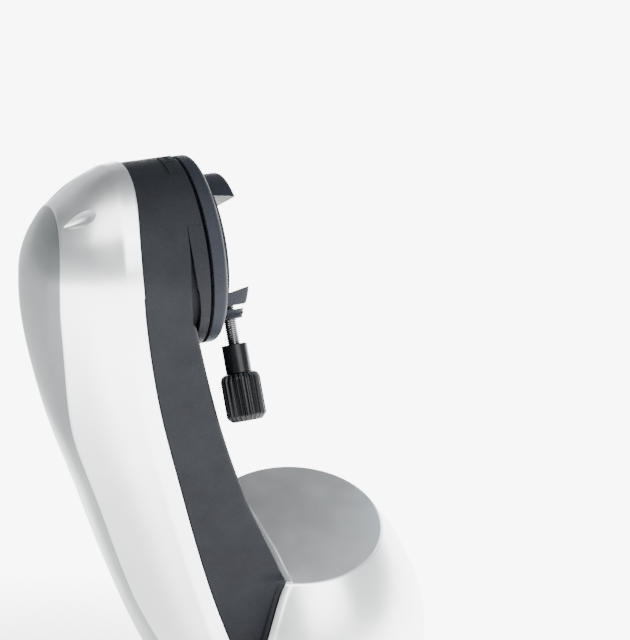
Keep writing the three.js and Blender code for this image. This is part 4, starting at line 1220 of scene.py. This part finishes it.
build_outer_shell()
build_casting()
build_index_plate()
build_dome()
build_disc()
build_saddle()
build_clamp_handle()
build_base()
build_panel()
place_screws(16, "side_screw", "azimuth_head",
             [shift(inner_face(z) - 1.7, y, z) @ FACING_X for z, y in SHELL_SCREWS],
             numbered("shell_screw"))
place_screws(9, "plate_screw", "altitude_head",
             [TILT @ shift(FLOOR_X - 0.3, y, z) @ FACING_X for y, z in SADDLE_SCREWS],
             numbered("saddle_screw"))

# CAD nodes that stay as they are, with their materials.
INSIDE = {
    STEEL: ["azimuth_spindle", "spindle_nut", *numbered("spindle_screw"),
            "azimuth_lower_bearing", "azimuth_upper_bearing", "altitude_front_bearing",
            "altitude_rear_bearing", *numbered("dome_screw"), "azimuth_gearbox",
            "azimuth_motor", "altitude_motor_bracket", "altitude_gearbox", "altitude_motor",
            "altitude_shaft", "altitude_shaft_nut"],
    BRASS: ["azimuth_ring_gear", "azimuth_pinion", "altitude_pinion", "altitude_gear"],
    CASTING: ["turntable"],
    BOARD: ["control_board"],
}
for material, names in INSIDE.items():
    for name in names:
        paint_all(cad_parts[name], material)

# ---- floor, light and camera ----

FLOOR_HALF = 30  # metres, as is everything in this part
# Glow of the floor in its painted shade and in full.
FLOOR_GLOW = (1.8, 8.0)


def build_floor():
    ends = about(0, FLOOR_HALF / MM)
    floor = make_object("floor", grid([[(x, y, 0) for x in ends] for y in ends]), closed=False)
    paper = Finish("backdrop", 0.7, 0.0)
    paper.colour((0.21, 0.21, 0.215), (0.23, 0.23, 0.23), paper.spread(paper.noise(1.5), 0, 1))
    paper.shader.inputs["Emission Color"].default_value = (1, 1, 1, 1)
    # Painted shadow and shade: it glows less beside the arm's foot, a painted shadow, and to the
    # far left, painted shade that the silver paint reflects.
    foot = paper.spread(paper.from_place("DISTANCE", (-0.21, -0.07, 0)), 0, 1, 0.02, 0.24)
    left = paper.spread(paper.from_place("DOT_PRODUCT", (-0.985, 0.17, 0)), 0, 1, 0.195, 0.34)
    rear = paper.spread(paper.from_place("DOT_PRODUCT", (0, 1, 0)), 0, 1, -0.34, -0.06)
    glow = paper.maths("MULTIPLY", paper.maths("MULTIPLY", foot, foot),
                       paper.spread(paper.maths("MULTIPLY", left, rear), 1, 0, 0, 1))
    paper.link(paper.spread(glow, *FLOOR_GLOW, 0.0, 1.0), paper.shader.inputs["Emission Strength"])
    floor.data.materials.append(paper.material)
    return floor


def build_sky():
    """Soft light from all round, brighter from the front, the right and above."""
    world = bpy.data.worlds.new("studio")
    world.use_nodes = True
    bpy.context.scene.world = world
    sky = world.node_tree
    toward = sky.nodes.new("ShaderNodeTexCoord").outputs["Generated"]
    parts = sky.nodes.new("ShaderNodeSeparateXYZ")
    sky.links.new(toward, parts.inputs[0])

    def fade(axis, start, end, low, high):
        return map_range(sky, parts.outputs[axis], start, end, low, high, "SMOOTHSTEP")

    front, side = fade("Y", -0.9, 0.5, 1.2, 0.08), fade("X", -0.9, 0.3, 0.15, 1.0)
    top, horizon = fade("Z", 0.5, 0.98, 1.0, 2.6), fade("Z", 0.3, 0.5, 1.0, 0.0)
    total = maths(sky, "MULTIPLY", maths(sky, "MULTIPLY", front, side), top)
    background = sky.nodes["Background"]
    background.inputs["Color"].default_value = (0.95, 0.98, 1.0, 1)
    sky.links.new(maths(sky, "MAXIMUM", total, horizon), background.inputs["Strength"])


def area_light(name, place, target, size, power, colour=(1, 1, 1)):
    light = bpy.data.lights.new(name, "AREA")
    light.shape = "RECTANGLE"
    light.size, light.size_y = size
    light.energy = power
    light.color = colour
    lamp = bpy.data.objects.new(name, light)
    lamp.location = place
    lamp.rotation_euler = (Vector(target) - Vector(place)).to_track_quat("-Z", "Y").to_euler()
    bpy.context.scene.collection.objects.link(lamp)


CAMERA_PLACE = (-0.3280, -0.8822, 0.7408)
CAMERA_ANGLES = (-21.25, 27, 0.18)  # azimuth, elevation and roll in degrees
CAMERA_LENS = 95.625  # millimetres


def build_camera():
    azimuth, elevation, roll = map(radians, CAMERA_ANGLES)
    back = Vector((sin(azimuth) * cos(elevation),
                   -cos(azimuth) * cos(elevation), sin(elevation)))
    right = (-back).cross(Vector((0, 0, 1))).normalized()
    up = right.cross(-back)
    right, up = right * cos(roll) + up * sin(roll), up * cos(roll) - right * sin(roll)
    camera = bpy.data.objects.new("camera", bpy.data.cameras.new("camera"))
    camera.data.lens = CAMERA_LENS
    camera.data.sensor_width = 36
    camera.matrix_world = (Matrix.Translation(CAMERA_PLACE)
                           @ Matrix((right, up, back)).transposed().to_4x4())
    bpy.context.scene.collection.objects.link(camera)
    bpy.context.scene.camera = camera


build_floor()
build_sky()
area_light("front_softbox", (0.5, -1.9, 1.5), (0, 0, 0.2), (1.6, 1.6), 60)
area_light("side_softbox", (1.6, 0.8, 1.0), (0, 0, 0.15), (1.0, 1.2), 18, (0.82, 0.92, 1.0))
area_light("overhead_softbox", (-0.4, -0.45, 1.85), (-0.1, 0, 0.3), (1.9, 1.1), 40)
build_camera()
